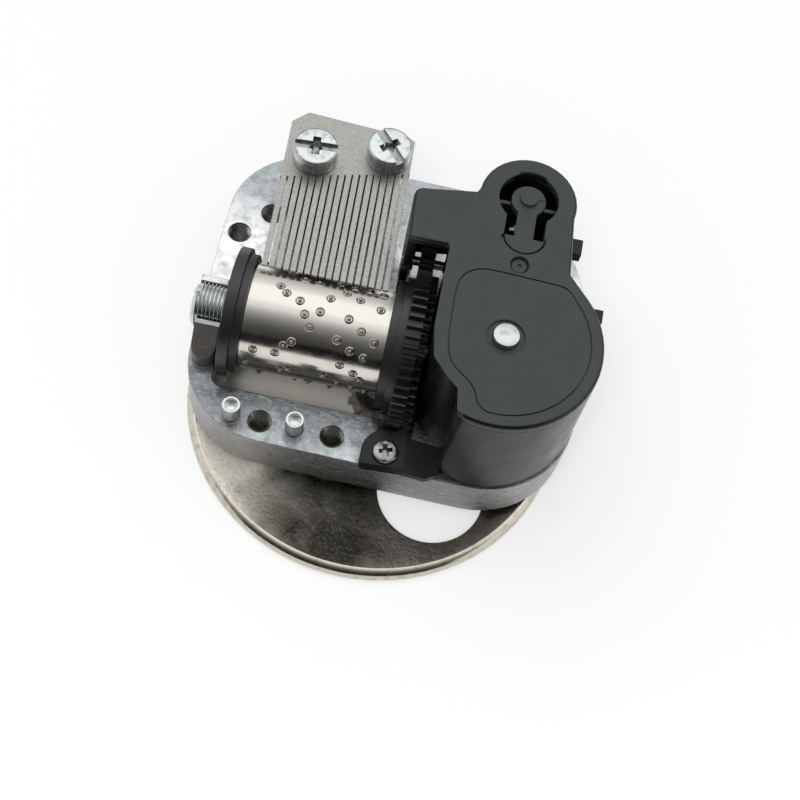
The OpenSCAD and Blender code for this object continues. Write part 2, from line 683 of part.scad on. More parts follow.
// The drive wheel's gap meets the crown tooth nearest to where the two cross
tooth_step = 360 / drum_gear_teeth;
cross_y = arbor_y + 0.5;
crown_angle = atan2(cross_y - drum_axis_y, drum_z - drive_wheel_z - drive_wheel_t / 2);
crown_offset = (270 + crown_angle - governor_dir) % tooth_step;
drive_phase = 180 - asin((cross_y - arbor_y) / drive_tip_r) + crown_offset - tooth_step / 2;
module drive_wheel() color("goldenrod") difference() {
    translate([arbor_x, arbor_y, drive_wheel_z]) linear_extrude(drive_wheel_t) rotate(drive_phase)
        polygon(gear_outline(drum_gear_teeth, drive_tip_r - drive_depth, drive_tip_r, 0.38, 0.24));
    post(arbor_pos, 2.6, 0, plate_top);
}

// Spring strip, wound as one spiral between the arbor's core and the barrel's wall
spring_r0 = arbor_core_r + 0.5;
spring_r1 = barrel_r - barrel_wall - spring_t;
spring_step = 18;
function spiral(offset) = [
    for (i = [0 : spring_turns * spring_step])
        let (a = 360 * i / spring_step, r = spring_r0 + (spring_r1 - spring_r0) * i / (spring_turns * spring_step))
            (r + offset) * [cos(a), sin(a)]
];
module mainspring() color("slategray") translate([arbor_x, arbor_y, barrel_z + 1.2])
    linear_extrude(barrel_h - 1.7) polygon(concat(spiral(0), [for (p = [len(spiral(0)) - 1 : -1 : 0]) spiral(spring_t)[p]]));

module winding_arbor() color("silver") union() {
    post(arbor_pos, arbor_r, disc_t + 0.5, housing_top + arbor_stub);
    post(arbor_pos, arbor_core_r, barrel_z + 1.2, barrel_z + barrel_h - 0.4);
}

module arbor_gear() color("goldenrod") difference() {
    translate([arbor_x, arbor_y, winding_gear_z]) linear_extrude(winding_gear_t)
        rotate(180 + arbor_dir + 180 / arbor_teeth)
            polygon(gear_outline(arbor_teeth, arbor_pitch_r - winding_dedendum,
                arbor_pitch_r + winding_addendum));
    post(arbor_pos, arbor_r, 0, plate_top);
}

module ratchet_wheel() color("darkgray") difference() {
    translate([arbor_x, arbor_y, ratchet_z]) linear_extrude(ratchet_t) polygon([
        for (i = [0 : ratchet_teeth - 1]) for (p = [[0, ratchet_r - 0.7], [0.05, ratchet_r]])
            let (a = 360 * (i + p[0]) / ratchet_teeth) p[1] * [cos(a), sin(a)]]);
    post(arbor_pos, arbor_r, 0, plate_top);
}

module arbor_clip() color("silver") difference() {
    post(arbor_pos, 2.6, winding_gear_z - 0.35, winding_gear_z);
    post(arbor_pos, arbor_r, 0, plate_top);
}

module governor_arbor() color("silver") union() {
    along_x(governor_pivot_r, block_left, bracket_x + 0.9, governor_y, governor_z);
    along_x(governor_r, block_left + 1.4, bracket_x - 0.2, governor_y, governor_z);
}

module governor_pinion() color([0.13, 0.13, 0.14]) difference() {
    extrude_x(drum_gear_x, drum_gear_w, governor_y, governor_z) rotate(governor_dir + 180 + 180 / pinion_teeth)
        polygon(gear_outline(pinion_teeth, pinion_pitch_r - pinion_dedendum,
            pinion_pitch_r + pinion_tip, 0.5, 0.2));
    along_x(governor_r, 0, crown_x1, governor_y, governor_z);
}

module worm_wheel() color("goldenrod") difference() {
    extrude_x(fan_x - wheel_t / 2, wheel_t, governor_y, governor_z)
        polygon(gear_outline(worm_wheel_teeth, wheel_pitch_r - wheel_dedendum,
            wheel_pitch_r + wheel_addendum, 0.4, 0.2));
    along_x(governor_r, fan_x - 2, fan_x + 2, governor_y, governor_z);
}

worm_phase = 90;
module worm_shaft() color("silver") union() {
    post(lobe_c, fan_pivot_r, plate_top + 0.6, housing_top - 0.7);
    post(lobe_c, fan_shaft_r, plate_top + 1.8, lid_z - 0.6);
    post(lobe_c, worm_r - worm_depth, governor_z - worm_len / 2, governor_z + worm_len / 2);
    translate([fan_x, fan_y, governor_z - worm_len / 2]) rotate(worm_phase)
        linear_extrude(worm_len, twist = -360 * worm_len / worm_lead, slices = 24)
            for (i = [0 : worm_starts - 1]) rotate(360 * i / worm_starts)
                polygon([[0, -0.3], [worm_r + 0.2, -0.2], [worm_r + 0.2, 0.2], [0, 0.3]]);
}

module air_brake() color([0.13, 0.13, 0.14]) difference() {
    union() {
        post(lobe_c, 1.1, fan_z, fan_z + fan_h);
        block([fan_x - fan_r, fan_y - 0.25, fan_z], [fan_x + fan_r, fan_y + 0.25, fan_z + fan_h]);
    }
    post(lobe_c, fan_shaft_r, fan_z - lap, fan_z + fan_h + lap);
}

module winding_disc() color("silver") difference() {
    union() {
        post([0, 0], disc_r, 0, disc_t);
        difference() {
            post([0, 0], disc_r, 0, rim_h);
            post([0, 0], disc_r - rim_w, disc_t, rim_h + lap);
        }
    }
    rotate(finger_hole_angle) translate([finger_hole_reach, 0, -lap]) cylinder(r = finger_hole_r, h = rim_h + 2 * lap);
    post([0, 0], disc_bore_r, -lap, rim_h);
}

module disc_hub() color("darkgray") union() {
    post([0, 0], disc_bore_r, 0, disc_t + lap);
    post([0, 0], hub_r, disc_t, winding_gear_z);
    post([0, 0], 1.6, winding_gear_z - lap, winding_gear_top);
    post([0, 0], hub_shaft_r, winding_gear_top - lap, arm_z + arm_t + 0.45);
}

module hub_pinion() color("goldenrod") difference() {
    translate([0, 0, winding_gear_z]) linear_extrude(winding_gear_t) rotate(arbor_dir)
        polygon(gear_outline(hub_teeth, hub_pitch_r - winding_dedendum, hub_pitch_r + winding_addendum));
    post([0, 0], 1.6, 0, plate_top);
}

module hub_clip() color("silver") difference() {
    post([0, 0], hub_shaft_r + 0.55, arm_z + arm_t + 0.05, arm_z + arm_t + 0.35);
    post([0, 0], hub_shaft_r, 0, plate_top);
}

bedplate();
axle_screw();
comb();
comb_screws();
spring_housing();
housing_lid();
foot_screw();
lid_screw();
drum_bearing();
governor_bracket();
fan_bearing();
click();
click_screw();
drum_sleeve();
drum_left_cap();
drum_gear();
drum_axle();
spring_barrel();
barrel_cover();
drive_wheel();
mainspring();
winding_arbor();
arbor_gear();
ratchet_wheel();
arbor_clip();
governor_arbor();
governor_pinion();
worm_wheel();
worm_shaft();
air_brake();
winding_disc();
disc_hub();
hub_pinion();
hub_clip();
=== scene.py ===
"""Looks of a wind-up musical movement on a round turning disc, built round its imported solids."""

import logging
import math
from dataclasses import dataclass
from enum import Enum
from typing import Callable, Iterable, Optional, Sequence, Union

import bmesh
import bpy
from bmesh.types import BMesh, BMVert
from bpy.types import Material, Node, NodeSocket, NodeTree, Object
from mathutils import Euler, Matrix, Vector


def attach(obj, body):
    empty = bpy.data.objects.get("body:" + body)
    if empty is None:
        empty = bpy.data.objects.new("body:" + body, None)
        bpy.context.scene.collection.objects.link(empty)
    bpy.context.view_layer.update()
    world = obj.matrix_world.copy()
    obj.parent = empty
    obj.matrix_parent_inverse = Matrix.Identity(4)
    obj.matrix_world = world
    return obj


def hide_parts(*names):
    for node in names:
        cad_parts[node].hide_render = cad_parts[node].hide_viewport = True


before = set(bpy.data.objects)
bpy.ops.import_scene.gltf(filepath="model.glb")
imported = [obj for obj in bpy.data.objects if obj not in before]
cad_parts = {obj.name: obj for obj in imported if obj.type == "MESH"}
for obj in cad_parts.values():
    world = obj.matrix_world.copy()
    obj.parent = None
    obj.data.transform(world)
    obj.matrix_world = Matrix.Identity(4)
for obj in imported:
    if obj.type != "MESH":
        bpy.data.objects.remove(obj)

LOG = logging.getLogger("music_movement")
MM = 0.001
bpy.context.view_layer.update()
MERGE_COPY = 1e-3  # mm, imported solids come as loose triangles
MERGE_NEW = 1e-4
FLAT = math.radians(0.4)  # faces that meet flatter than this are one
Point = tuple[float, float]
Source = Union[Node, NodeSocket]  # a node stands for its first output
Colour = Union[str, Source]
Place = Callable[[Vector], bool]


class Body(Enum):
    """The rigid bodies of the movement that new pieces ride on."""

    MOVEMENT = "movement"
    DRUM = "drum"
    ARBOR = "arbor"
    DISC = "disc"


class Axis(Enum):
    """Axes that pieces are spun or turned round."""

    X = (1.0, 0.0, 0.0)
    Z = (0.0, 0.0, 1.0)


# Colour and nodes


def linear(code: str) -> tuple[float, float, float, float]:
    """Turns an sRGB hex colour to linear.

    Args:
        code: six hex digits.

    Returns:
        The colour as Blender's sockets take it.
    """
    values = [int(code[i:i + 2], 16) / 255 for i in (0, 2, 4)]
    red, green, blue = [v / 12.92 if v <= 0.04045 else ((v + 0.055) / 1.055) ** 2.4 for v in values]
    return (red, green, blue, 1.0)


def add_node(tree: NodeTree, kind: str, settings: Optional[dict] = None, links: Optional[dict] = None) -> Node:
    """Adds a node with its settings and links.

    Args:
        tree: the tree that gets the node.
        kind: Blender's name of the node type, after ShaderNode.
        settings: attributes of the node, and values of its input sockets by name or number.
        links: what feeds each input socket, by name or number.

    Returns:
        The new node.
    """
    node = tree.nodes.new(f"ShaderNode{kind}")
    for key, value in (settings or {}).items():
        if isinstance(key, int) or key in node.inputs:
            node.inputs[key].default_value = value
        else:
            setattr(node, key, value)
    for key, source in (links or {}).items():
        tree.links.new(source.outputs[0] if isinstance(source, Node) else source, node.inputs[key])
    return node


def empty_material(name: str) -> tuple[Material, NodeTree]:
    """Makes a material and returns it with its empty tree."""
    made = bpy.data.materials.new(name)
    made.use_nodes = True
    made.node_tree.nodes.clear()
    return made, made.node_tree


def limits(span: Point, values: Point = (0.0, 1.0)) -> dict[str, float]:
    """Names the ends of a span and the values that they become, as Map Range takes them."""
    return dict(zip(("From Min", "From Max", "To Min", "To Max"), (*span, *values)))


def speckle(tree: NodeTree, size: float, detail: float = 2.0, stretch: Sequence[float] = (1, 1, 1),
            span: Optional[Point] = None, values: Point = (0.0, 1.0)) -> Source:
    """Lays a noise with grains of a real size over a piece.

    Args:
        tree: the material's tree.
        size: width of one grain in millimetres.
        detail: how much finer noise is added.
        stretch: how much tighter the grains lie along each axis.
        span: the part of the noise that is spread over the values, None for the raw noise.
        values: what the ends of the span become.

    Returns:
        The pattern's value; raw noise goes from 0 to 1 with most of it near 0.5.
    """
    laid = add_node(tree, "Mapping", {"Scale": stretch}, {"Vector": add_node(tree, "TexCoord").outputs["Object"]})
    noise = add_node(tree, "TexNoise", {"Scale": 1 / (size * MM), "Detail": detail, "Roughness": 0.55},
                     {"Vector": laid})
    return noise if span is None else add_node(tree, "MapRange", limits(span, values), {"Value": noise})


def nearness(tree: NodeTree, centre: Point, reach: Point, ragged: float = 3.0, most: float = 1.0) -> Source:
    """Marks an area round an upright line, with a ragged edge.

    Args:
        tree: the material's tree.
        centre: the line's place in the row frame, in millimetres.
        reach: radius that is fully marked, and radius where the mark ends.
        ragged: how far noise moves the edge, in millimetres.
        most: the value inside.

    Returns:
        The value inside, falling to 0 outside.
    """
    flat = add_node(tree, "VectorMath", {"operation": "MULTIPLY", 1: (1, 1, 0)},
                    {0: add_node(tree, "TexCoord").outputs["Object"]})
    middle = (centre[0] * MM, centre[1] * MM, 0)
    away = add_node(tree, "VectorMath", {"operation": "DISTANCE", 1: middle}, {0: flat})
    wander = speckle(tree, 4.0, 3.0, span=(0.25, 0.75), values=(-ragged * MM, ragged * MM))
    total = add_node(tree, "Math", {"operation": "ADD"}, {0: away.outputs["Value"], 1: wander})
    return add_node(tree, "MapRange", limits((reach[0] * MM, reach[1] * MM), (most, 0.0)), {"Value": total})


def wandering(tree: NodeTree, axis: str, size: float, detail: float, span: Point, reach: float) -> Source:
    """Reads a coordinate of a piece that noise moves to and fro.

    Args:
        tree: the material's tree.
        axis: X, Y or Z.
        size: width of the noise's grain in millimetres.
        detail: how much finer noise is added.
        span: the part of the noise that is used.
        reach: how far it moves the coordinate, in millimetres.

    Returns:
        The coordinate in metres.
    """
    parts = add_node(tree, "SeparateXYZ", links={"Vector": add_node(tree, "TexCoord").outputs["Object"]})
    moves = speckle(tree, size, detail, span=span, values=(-reach * MM, reach * MM))
    return add_node(tree, "Math", {"operation": "ADD"}, {0: parts.outputs[axis], 1: moves})


def coats(tree: NodeTree, base: Colour, *layers: tuple[Source, Colour]) -> Source:
    """Lays colours over one another, each a hex code or another node's colour.

    Args:
        tree: the material's tree.
        base: the lowest colour.
        layers: each coat's share and its colour, in order.

    Returns:
        The colour that shows.
    """
    for share, coat in layers:
        settings, links = {"data_type": "RGBA"}, {0: share}
        for key, colour in ((6, base), (7, coat)):
            if isinstance(colour, str):
                settings[key] = linear(colour)
            else:
                links[key] = colour
        base = add_node(tree, "Mix", settings, links).outputs[2]
    return base


def relief(tree: NodeTree, *patterns: tuple[Source, float]) -> Source:
    """Raises patterns on a surface.

    Args:
        tree: the material's tree.
        patterns: each pattern's height from 0 to 1 and what 1 is in millimetres, the coarsest first.

    Returns:
        The bent normal.
    """
    under = {}
    for height, depth in patterns:
        bump = add_node(tree, "Bump", {"Distance": depth * MM, "Strength": 1.0}, {"Height": height, **under})
        under = {"Normal": bump}
    return bump


# Finishes


@dataclass(frozen=True)
class Finish:
    """A real surface: what it is made of and how."""

    name: str
    slot: str
    colour: str
    roughness: float
    metallic: float = 1.0
    shine: float = 0.5

    def material(self) -> Material:
        """Returns the finish's material, made once."""
        found = bpy.data.materials.get(self.name)
        if found:
            return found
        made, tree = empty_material(self.name)
        shader = add_node(tree, "BsdfPrincipled", {
            "Base Color": linear(self.colour), "Roughness": self.roughness, "Metallic": self.metallic,
            "Specular IOR Level": self.shine}, self.pattern(tree))
        add_node(tree, "OutputMaterial", links={"Surface": shader})
        return made

    def pattern(self, tree: NodeTree) -> dict[str, Source]:
        """Returns what varies over the surface, by the shader's socket; a plain finish has nothing."""
        return {}

    def gloss(self, tree: NodeTree, size: float, swing: Point, detail: float = 3.0,
              span: Point = (0.3, 0.7)) -> Source:
        """Lets the roughness wander from place to place.

        Args:
            tree: the material's tree.
            size: width of one patch in millimetres.
            swing: the least and the most that is added.
            detail: how much finer noise is added.
            span: the part of the noise that is used.

        Returns:
            The roughness.
        """
        values = (self.roughness + swing[0], self.roughness + swing[1])
        return speckle(tree, size, detail, span=span, values=values)


@dataclass(frozen=True)
class DieCastZinc(Finish):
    """Zinc alloy, die cast and tumbled: bright, with cloudy grey flow patches, flecks and trimmed side walls;
    light and shade are painted over it from front to back and where the comb and the housing shade it.
    """

    cloud: str = "6B7074"
    fleck: str = "D6D9DC"
    pit: str = "5A5E62"
    trimmed: tuple[str, str] = ("ACABAC", "939193")
    trim_marks: Sequence[float] = (1.0, 1.0, 9.0)
    # Places that stand in the comb's and the housing's shade: centre, reach, ragged edge, how much, colour
    shaded: tuple[tuple[Point, Point, float, float, str], ...] = (
        ((3.2, 17.5), (2.0, 4.2), 0.6, 0.7, "6E7274"), ((-9.0, 14.0), (7.5, 9.2), 0.3, 0.72, "4C4F51"))
    parting_z: float = 6.3
    parting_width: float = 0.12
    # Painted light and shade from the plate's front to its back: place along Y in millimetres and colour
    painted_light_tones: tuple[tuple[float, str], ...] = (
        (-17.0, "CDD1D3"), (-14.0, "C3C7C9"), (-11.5, "989C9E"), (-7.0, "7E8284"), (1.0, "B0B3B5"),
        (8.0, "FCFCFC"), (17.0, "FFFFFF"), (22.0, "B6BBBE"), (30.0, "ABB0B3"))

    def pattern(self, tree: NodeTree) -> dict[str, Source]:
        """Paints light and shade from front to back and in the comb's and the housing's shade, clouds the colour
        and the gloss, pits the skin, and scores the trimmed walls and the parting line.
        """
        side = self.wall_share(tree)
        trims = speckle(tree, 1.4, 4.0, self.trim_marks, (0.4, 0.6))
        shades = [(nearness(tree, at, reach, ragged, most), code) for at, reach, ragged, most, code in self.shaded]
        colour = coats(
            tree, self.tone(tree),
            (speckle(tree, 9.0, 2.0, span=(0.42, 0.66), values=(0.0, 0.25)), self.cloud),
            (speckle(tree, 1.3, 5.0, span=(0.48, 0.68), values=(0.0, 0.32)), self.cloud),
            (speckle(tree, 0.42, 4.0, (0.7, 1.2, 1.0), (0.5, 0.7), (0.0, 0.34)), self.fleck),
            (speckle(tree, 0.22, 4.0, (1.3, 1.0, 0.8), (0.56, 0.7), (0.0, 0.26)), self.pit),
            *shades, (side, coats(tree, self.trimmed[0], (trims, self.trimmed[1]))))
        scored = add_node(tree, "Math", {"operation": "MULTIPLY"}, {0: trims, 1: side})
        return {"Base Color": colour, "Roughness": self.gloss(tree, 1.3, (-0.06, 0.12), 5.0, (0.35, 0.65)),
                "Normal": relief(tree, (speckle(tree, 0.9, 3.0), 0.07), (speckle(tree, 0.2, 3.0), 0.02),
                                 (scored, 0.03), (self.parting_line(tree), 0.06))}

    def parting_line(self, tree: NodeTree) -> Source:
        """Returns 0 in the fine line that the die's halves left round the walls, and 1 beside it."""
        level = wandering(tree, "Z", 3.0, 2.0, (0.0, 1.0), 0.25)
        away = add_node(tree, "Math", {"operation": "SUBTRACT", 1: self.parting_z * MM}, {0: level})
        size = add_node(tree, "Math", {"operation": "ABSOLUTE"}, {0: away})
        return add_node(tree, "MapRange", limits((0.0, self.parting_width * MM)), {"Value": size})

    def tone(self, tree: NodeTree) -> Source:
        """Returns the skin's tone from the plate's front to its back, with light and shade painted in: some
        stretches brighter, others darker.
        """
        along = wandering(tree, "Y", 5.0, 3.0, (0.25, 0.75), 2.0)
        front, back = self.painted_light_tones[0][0], self.painted_light_tones[-1][0]
        share = add_node(tree, "MapRange", limits((front * MM, back * MM)), {"Value": along})
        ramp = add_node(tree, "ValToRGB", links={"Fac": share})
        stops = ramp.color_ramp.elements
        for number, (y, code) in enumerate(self.painted_light_tones):
            at = (y - front) / (back - front)
            stop = stops[number] if number < 2 else stops.new(at)
            stop.position, stop.color = at, linear(code)
        return ramp

    def wall_share(self, tree: NodeTree) -> Source:
        """Returns 1 on upright walls and 0 on level faces."""
        facing = add_node(tree, "NewGeometry")
        parts = add_node(tree, "SeparateXYZ", links={"Vector": facing.outputs["Normal"]})
        steep = add_node(tree, "Math", {"operation": "ABSOLUTE"}, {0: parts.outputs["Z"]})
        return add_node(tree, "MapRange", limits((0.25, 0.6), (1.0, 0.0)), {"Value": steep})


@dataclass(frozen=True)
class PlatedMetal(Finish):
    """Polished metal under a thin plating: clear reflections with fine wipe marks that turn with the piece."""

    wipes: Sequence[float] = (1.0, 1.0, 1.0)
    wipe_depth: float = 0.0012
    stain: str = ""

    def pattern(self, tree: NodeTree) -> dict[str, Source]:
        """Adds wipe marks, a little uneven gloss and faint stains."""
        # Real wipe marks are some 0.02 mm wide, so they are drawn 0.12 mm wide to show
        marks = speckle(tree, 0.12, stretch=self.wipes)
        laid = {"Roughness": self.gloss(tree, 1.8, (-0.25 * self.roughness, 0.3 * self.roughness)),
                "Normal": relief(tree, (marks, self.wipe_depth))}
        if self.stain:
            share = speckle(tree, 1.1, 3.0, span=(0.5, 0.72))
            laid["Base Color"] = coats(tree, self.colour, (share, self.stain))
        return laid


@dataclass(frozen=True)
class GroundSteel(Finish):
    """Hardened spring steel, surface ground: even grey with fine pits and short grinding marks."""

    marks: Sequence[float] = (3.0, 0.6, 1.0)
    speck: str = "9F9E9A"
    pit: str = "82817E"

    def pattern(self, tree: NodeTree) -> dict[str, Source]:
        """Adds the grinding marks and a fine salt and pepper of pits."""
        colour = coats(tree, self.colour, (speckle(tree, 0.22, 3.0, span=(0.38, 0.62)), self.speck),
                       (speckle(tree, 0.5, 4.0, (1.0, 0.8, 1.0), (0.6, 0.74), (0.0, 0.6)), self.pit))
        normal = relief(tree, (speckle(tree, 0.3, stretch=self.marks), 0.006), (speckle(tree, 0.12), 0.004))
        return {"Base Color": colour, "Roughness": self.gloss(tree, 0.22, (-0.06, 0.08)), "Normal": normal}


@dataclass(frozen=True)
class PlatedSheet(Finish):
    """Pressed steel sheet, tumbled and nickel plated: satin, with orange peel grain, and patches of painted light
    and shade.
    """

    cloud: str = "7A766B"
    # Painted light at the left, painted shade at the front, and a pale patch of painted light seen under the drum:
    # colour, centre and reach of each
    bright: str = "EAE6DA"
    painted_light_at: Point = (-21.0, -11.0)
    painted_light_reach: Point = (6.0, 14.5)
    dull: str = "33312C"
    painted_shade_at: Point = (-2.0, -22.0)
    painted_shade_reach: Point = (3.0, 13.0)
    painted_light_patch: str = "EAE6DC"
    painted_light_patch_at: Point = (-9.0, -1.5)
    painted_light_patch_reach: Point = (8.5, 11.5)

    def pattern(self, tree: NodeTree) -> dict[str, Source]:
        """Adds the peel, finer grit and soft clouds, paints patches of light and shade, and takes the metal's
        shine off where light is painted.
        """
        painted_light_patch = nearness(tree, self.painted_light_patch_at, self.painted_light_patch_reach, 0.6)
        colour = coats(
            tree, self.colour, (speckle(tree, 9.0, 3.0, span=(0.38, 0.62), values=(0.0, 0.9)), self.cloud),
            (nearness(tree, self.painted_light_at, self.painted_light_reach), self.bright),
            (nearness(tree, self.painted_shade_at, self.painted_shade_reach), self.dull),
            (speckle(tree, 0.35, 3.0, span=(0.5, 0.62), values=(0.0, 0.27)), self.cloud), (painted_light_patch, self.painted_light_patch))
        # Painted light: the pale patches lose their metal shine as well, most of it at the left and all of it
        # under the drum
        satin = nearness(tree, self.painted_light_at, self.painted_light_reach, most=0.7)
        thin = add_node(tree, "Math", {"operation": "MAXIMUM"}, {0: painted_light_patch, 1: satin})
        plated = add_node(tree, "Math", {"operation": "SUBTRACT", 0: 1.0}, {1: thin})
        # The grit itself is below 0.1 mm, so it is drawn 0.2 mm wide to show
        return {"Base Color": colour, "Metallic": plated,
                "Roughness": self.gloss(tree, 0.5, (-0.05, 0.08)),
                "Normal": relief(tree, (speckle(tree, 0.5), 0.045), (speckle(tree, 0.2), 0.012))}


@dataclass(frozen=True)
class MouldedSkin(Finish):
    """A skin out of a mould, plastic or sintered: its gloss and grain come from the mould's own surface."""

    metallic: float = 0.0
    grain: float = 0.2
    grain_depth: float = 0.01
    fleck: str = ""

    def pattern(self, tree: NodeTree) -> dict[str, Source]:
        """Adds the mould's grain, uneven gloss and a few pale dust flecks."""
        laid = {"Roughness": self.gloss(tree, 2.2, (-0.05, 0.07)),
                "Normal": relief(tree, (speckle(tree, self.grain), self.grain_depth))}
        if self.fleck:
            laid["Base Color"] = coats(
                tree, self.colour, (speckle(tree, 4.0, span=(0.3, 0.7), values=(0.0, 0.35)), self.fleck),
                (speckle(tree, 0.3, 3.0, span=(0.62, 0.8), values=(0.0, 0.8)), self.fleck))
        return laid


# Bright grey casting skin; its posts' upper ends take a brighter copy as a painted highlight, the front slope of
# its tongue a darker, warmer copy as a painted reflection, and its threads are freshly cut
ZINC_CASTING = DieCastZinc("tumbled_zinc_die_casting", "zinc_casting", "AEB2B4", 0.30)
POST_HIGHLIGHT_ZINC = PlatedMetal("burnished_zinc_post", "zinc_casting", "D6D9D9", 0.2)
TONGUE_REFLECTION_ZINC = MouldedSkin("rubbed_zinc_tongue", "zinc_casting", "5C5856", 0.42, metallic=0.5, grain=0.5,
                          fleck="77736F")
THREAD_ZINC = PlatedMetal("tapped_zinc_thread", "zinc_casting", "B4B2AC", 0.26)
# Cold, bright screws with grey stains, and a darker copy with dark stains, for the foot screw and as painted shade
# in the comb screws' slots and crosses
ZINC_PLATE = PlatedMetal("bright_zinc_plated_steel", "zinc_plated_screw", "D3D8D7", 0.24, stain="AAB1B2")
DARKER_PLATE_AND_SHADE = PlatedMetal("scuffed_zinc_plated_screw", "zinc_plated_screw", "A4A7A5", 0.28, stain="4C514F")
# Even, softly shining grey
COMB_STEEL = GroundSteel("ground_spring_steel", "comb_steel", "B2B1AD", 0.40)
# Warm mirror with wipe marks round the drum; the pins take a darker copy of it, a painted dark reflection, so that
# they stand out on it
DRUM_NICKEL = PlatedMetal("polished_nickel_drum", "drum_nickel", "DEDAD2", 0.19, wipes=(6.0, 0.35, 0.35))
PIN_NICKEL = PlatedMetal("polished_nickel_pins", "drum_nickel", "A8A49B", 0.16)
# Warm grainy satin with painted light and shade, polished on the rolled rim
DISC_NICKEL = PlatedSheet("tumbled_nickel_sheet", "disc_nickel", "9A968B", 0.3)
RIM_NICKEL = PlatedMetal("polished_nickel_rim", "disc_nickel", "CFC9BC", 0.2, stain="B3AC9E")
# Charcoal, dull with the mould's eroded grain; its rim is deep black and glossy
LID_PLASTIC = MouldedSkin("grained_black_abs", "lid_black", "2A2F30", 0.50, grain_depth=0.022, fleck="2F3333")
LID_RIM = MouldedSkin("polished_black_abs_rim", "lid_black", "0E0F0F", 0.24, grain=0.5, grain_depth=0.004,
                      shine=0.4)
# Deep black, glossy on the housing and half dull on the slippery gear wheels
HOUSING_PLASTIC = MouldedSkin("glossy_black_abs", "housing_black", "0E0F0F", 0.28, grain=0.5, grain_depth=0.006,
                              shine=0.32)
GEAR_PLASTIC = MouldedSkin("moulded_black_acetal", "gear_black", "121314", 0.38, grain=0.3, fleck="1F2020",
                           shine=0.7)
# Yellow stampings, then steels from bright turned ends to dark oiled springs
BRASS = PlatedMetal("stamped_brass", "brass", "C9A566", 0.28, stain="A9834A")
BRIGHT_STEEL = PlatedMetal("turned_bright_steel", "bright_steel", "CFD0D0", 0.26, stain="A9ABAD")
DARK_STEEL = PlatedMetal("tumbled_steel_wheel", "bright_steel", "8F8F8E", 0.34, stain="6C6C6B")
SPRING_STEEL = PlatedMetal("oiled_spring_steel", "spring_steel", "7C7E82", 0.34, stain="5E6064")
# Pale, stony and hardly shining
HUB_STEEL = MouldedSkin("sintered_steel_hub", "hub_steel", "A19B90", 0.48, metallic=0.35, grain=0.3,
                        grain_depth=0.008, fleck="B3ADA1")


# Meshes


def solid_copy(node: str) -> BMesh:
    """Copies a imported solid.

    Args:
        node: the name of the CAD node.

    Returns:
        Its mesh in millimetres, merged and with its flat faces joined.
    """
    bm = bmesh.new()
    bm.from_mesh(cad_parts[node].data)
    bmesh.ops.scale(bm, vec=Vector((1 / MM,) * 3), verts=bm.verts)
    bmesh.ops.remove_doubles(bm, verts=bm.verts, dist=MERGE_COPY)
    bmesh.ops.dissolve_limit(bm, angle_limit=FLAT, verts=bm.verts, edges=bm.edges)
    return bm


def on_level(height: float, slack: float = 0.01) -> Place:
    """Returns the test whether a point lies on a level, in millimetres."""
    return lambda p: abs(p.z - height) < slack


def round_edges(bm: BMesh, width: float, where: Place, segments: int = 2, clamp: bool = True) -> None:
    """Rounds the edges of a mesh that turn by more than 40 degrees and lie in one place.

    Args:
        bm: the mesh.
        width: width of the rounding in millimetres.
        where: says whether a point lies in that place.
        segments: steps across the rounding.
        clamp: keeps the rounding narrower where edges are short.
    """
    edges = [e for e in bm.edges if len(e.link_faces) == 2 and e.calc_face_angle(0) > math.radians(40)
             and all(where(v.co) for v in e.verts)]
    bmesh.ops.bevel(bm, geom=edges, offset=width, offset_type="OFFSET", segments=segments, profile=0.5,
                    affect="EDGES", clamp_overlap=clamp, material=-1)


def refill(bm: BMesh, height: float) -> None:
    """Fills the flat faces on one level again, so that no face wraps round a hole.

    Args:
        bm: the mesh.
        height: the level in millimetres.
    """
    level = on_level(height, 0.002)
    flat = {f for f in bm.faces if all(level(v.co) for v in f.verts)}
    rim = [e for e in bm.edges if sum(f in flat for f in e.link_faces) == 1]
    inner = [e for e in bm.edges if len(e.link_faces) == 2 and all(f in flat for f in e.link_faces)]
    bmesh.ops.delete(bm, geom=list(flat), context="FACES_ONLY")
    bmesh.ops.delete(bm, geom=inner, context="EDGES")
    bmesh.ops.triangle_fill(bm, edges=rim, use_beauty=True, use_dissolve=False, normal=(0, 0, 1))
    bmesh.ops.recalc_face_normals(bm, faces=bm.faces)


def turned(profile: Iterable[Point], axis: Axis, centre: Sequence[float], steps: int = 64, turns: int = 1,
           pitch: float = 0.0) -> BMesh:
    """Turns a profile into a solid of revolution, or winds it into the ridge of a thread.

    Args:
        profile: pairs of radius and height along the axis.
        axis: the axis of turning.
        centre: where the profile's zero height lies.
        steps: facets to a turn.
        turns: how often the profile goes round.
        pitch: how far a thread climbs in a turn, 0 for a solid of revolution.

    Returns:
        The turned mesh in millimetres.
    """
    bm = bmesh.new()
    along = Vector(axis.value)
    side = Vector((0, 0, 1)) if axis is Axis.X else Vector((1, 0, 0))
    verts = [bm.verts.new(Vector(centre) + side * r + along * h) for r, h in profile]
    edges = [bm.edges.new(pair) for pair in zip(verts, verts[1:])]
    bmesh.ops.spin(bm, geom=verts + edges, cent=Vector(centre), axis=along, angle=math.tau * turns,
                   steps=steps * turns, use_merge=pitch == 0, use_duplicate=False, dvec=along * pitch / steps)
    bmesh.ops.remove_doubles(bm, verts=bm.verts, dist=MERGE_NEW)
    bmesh.ops.recalc_face_normals(bm, faces=bm.faces)
    return bm


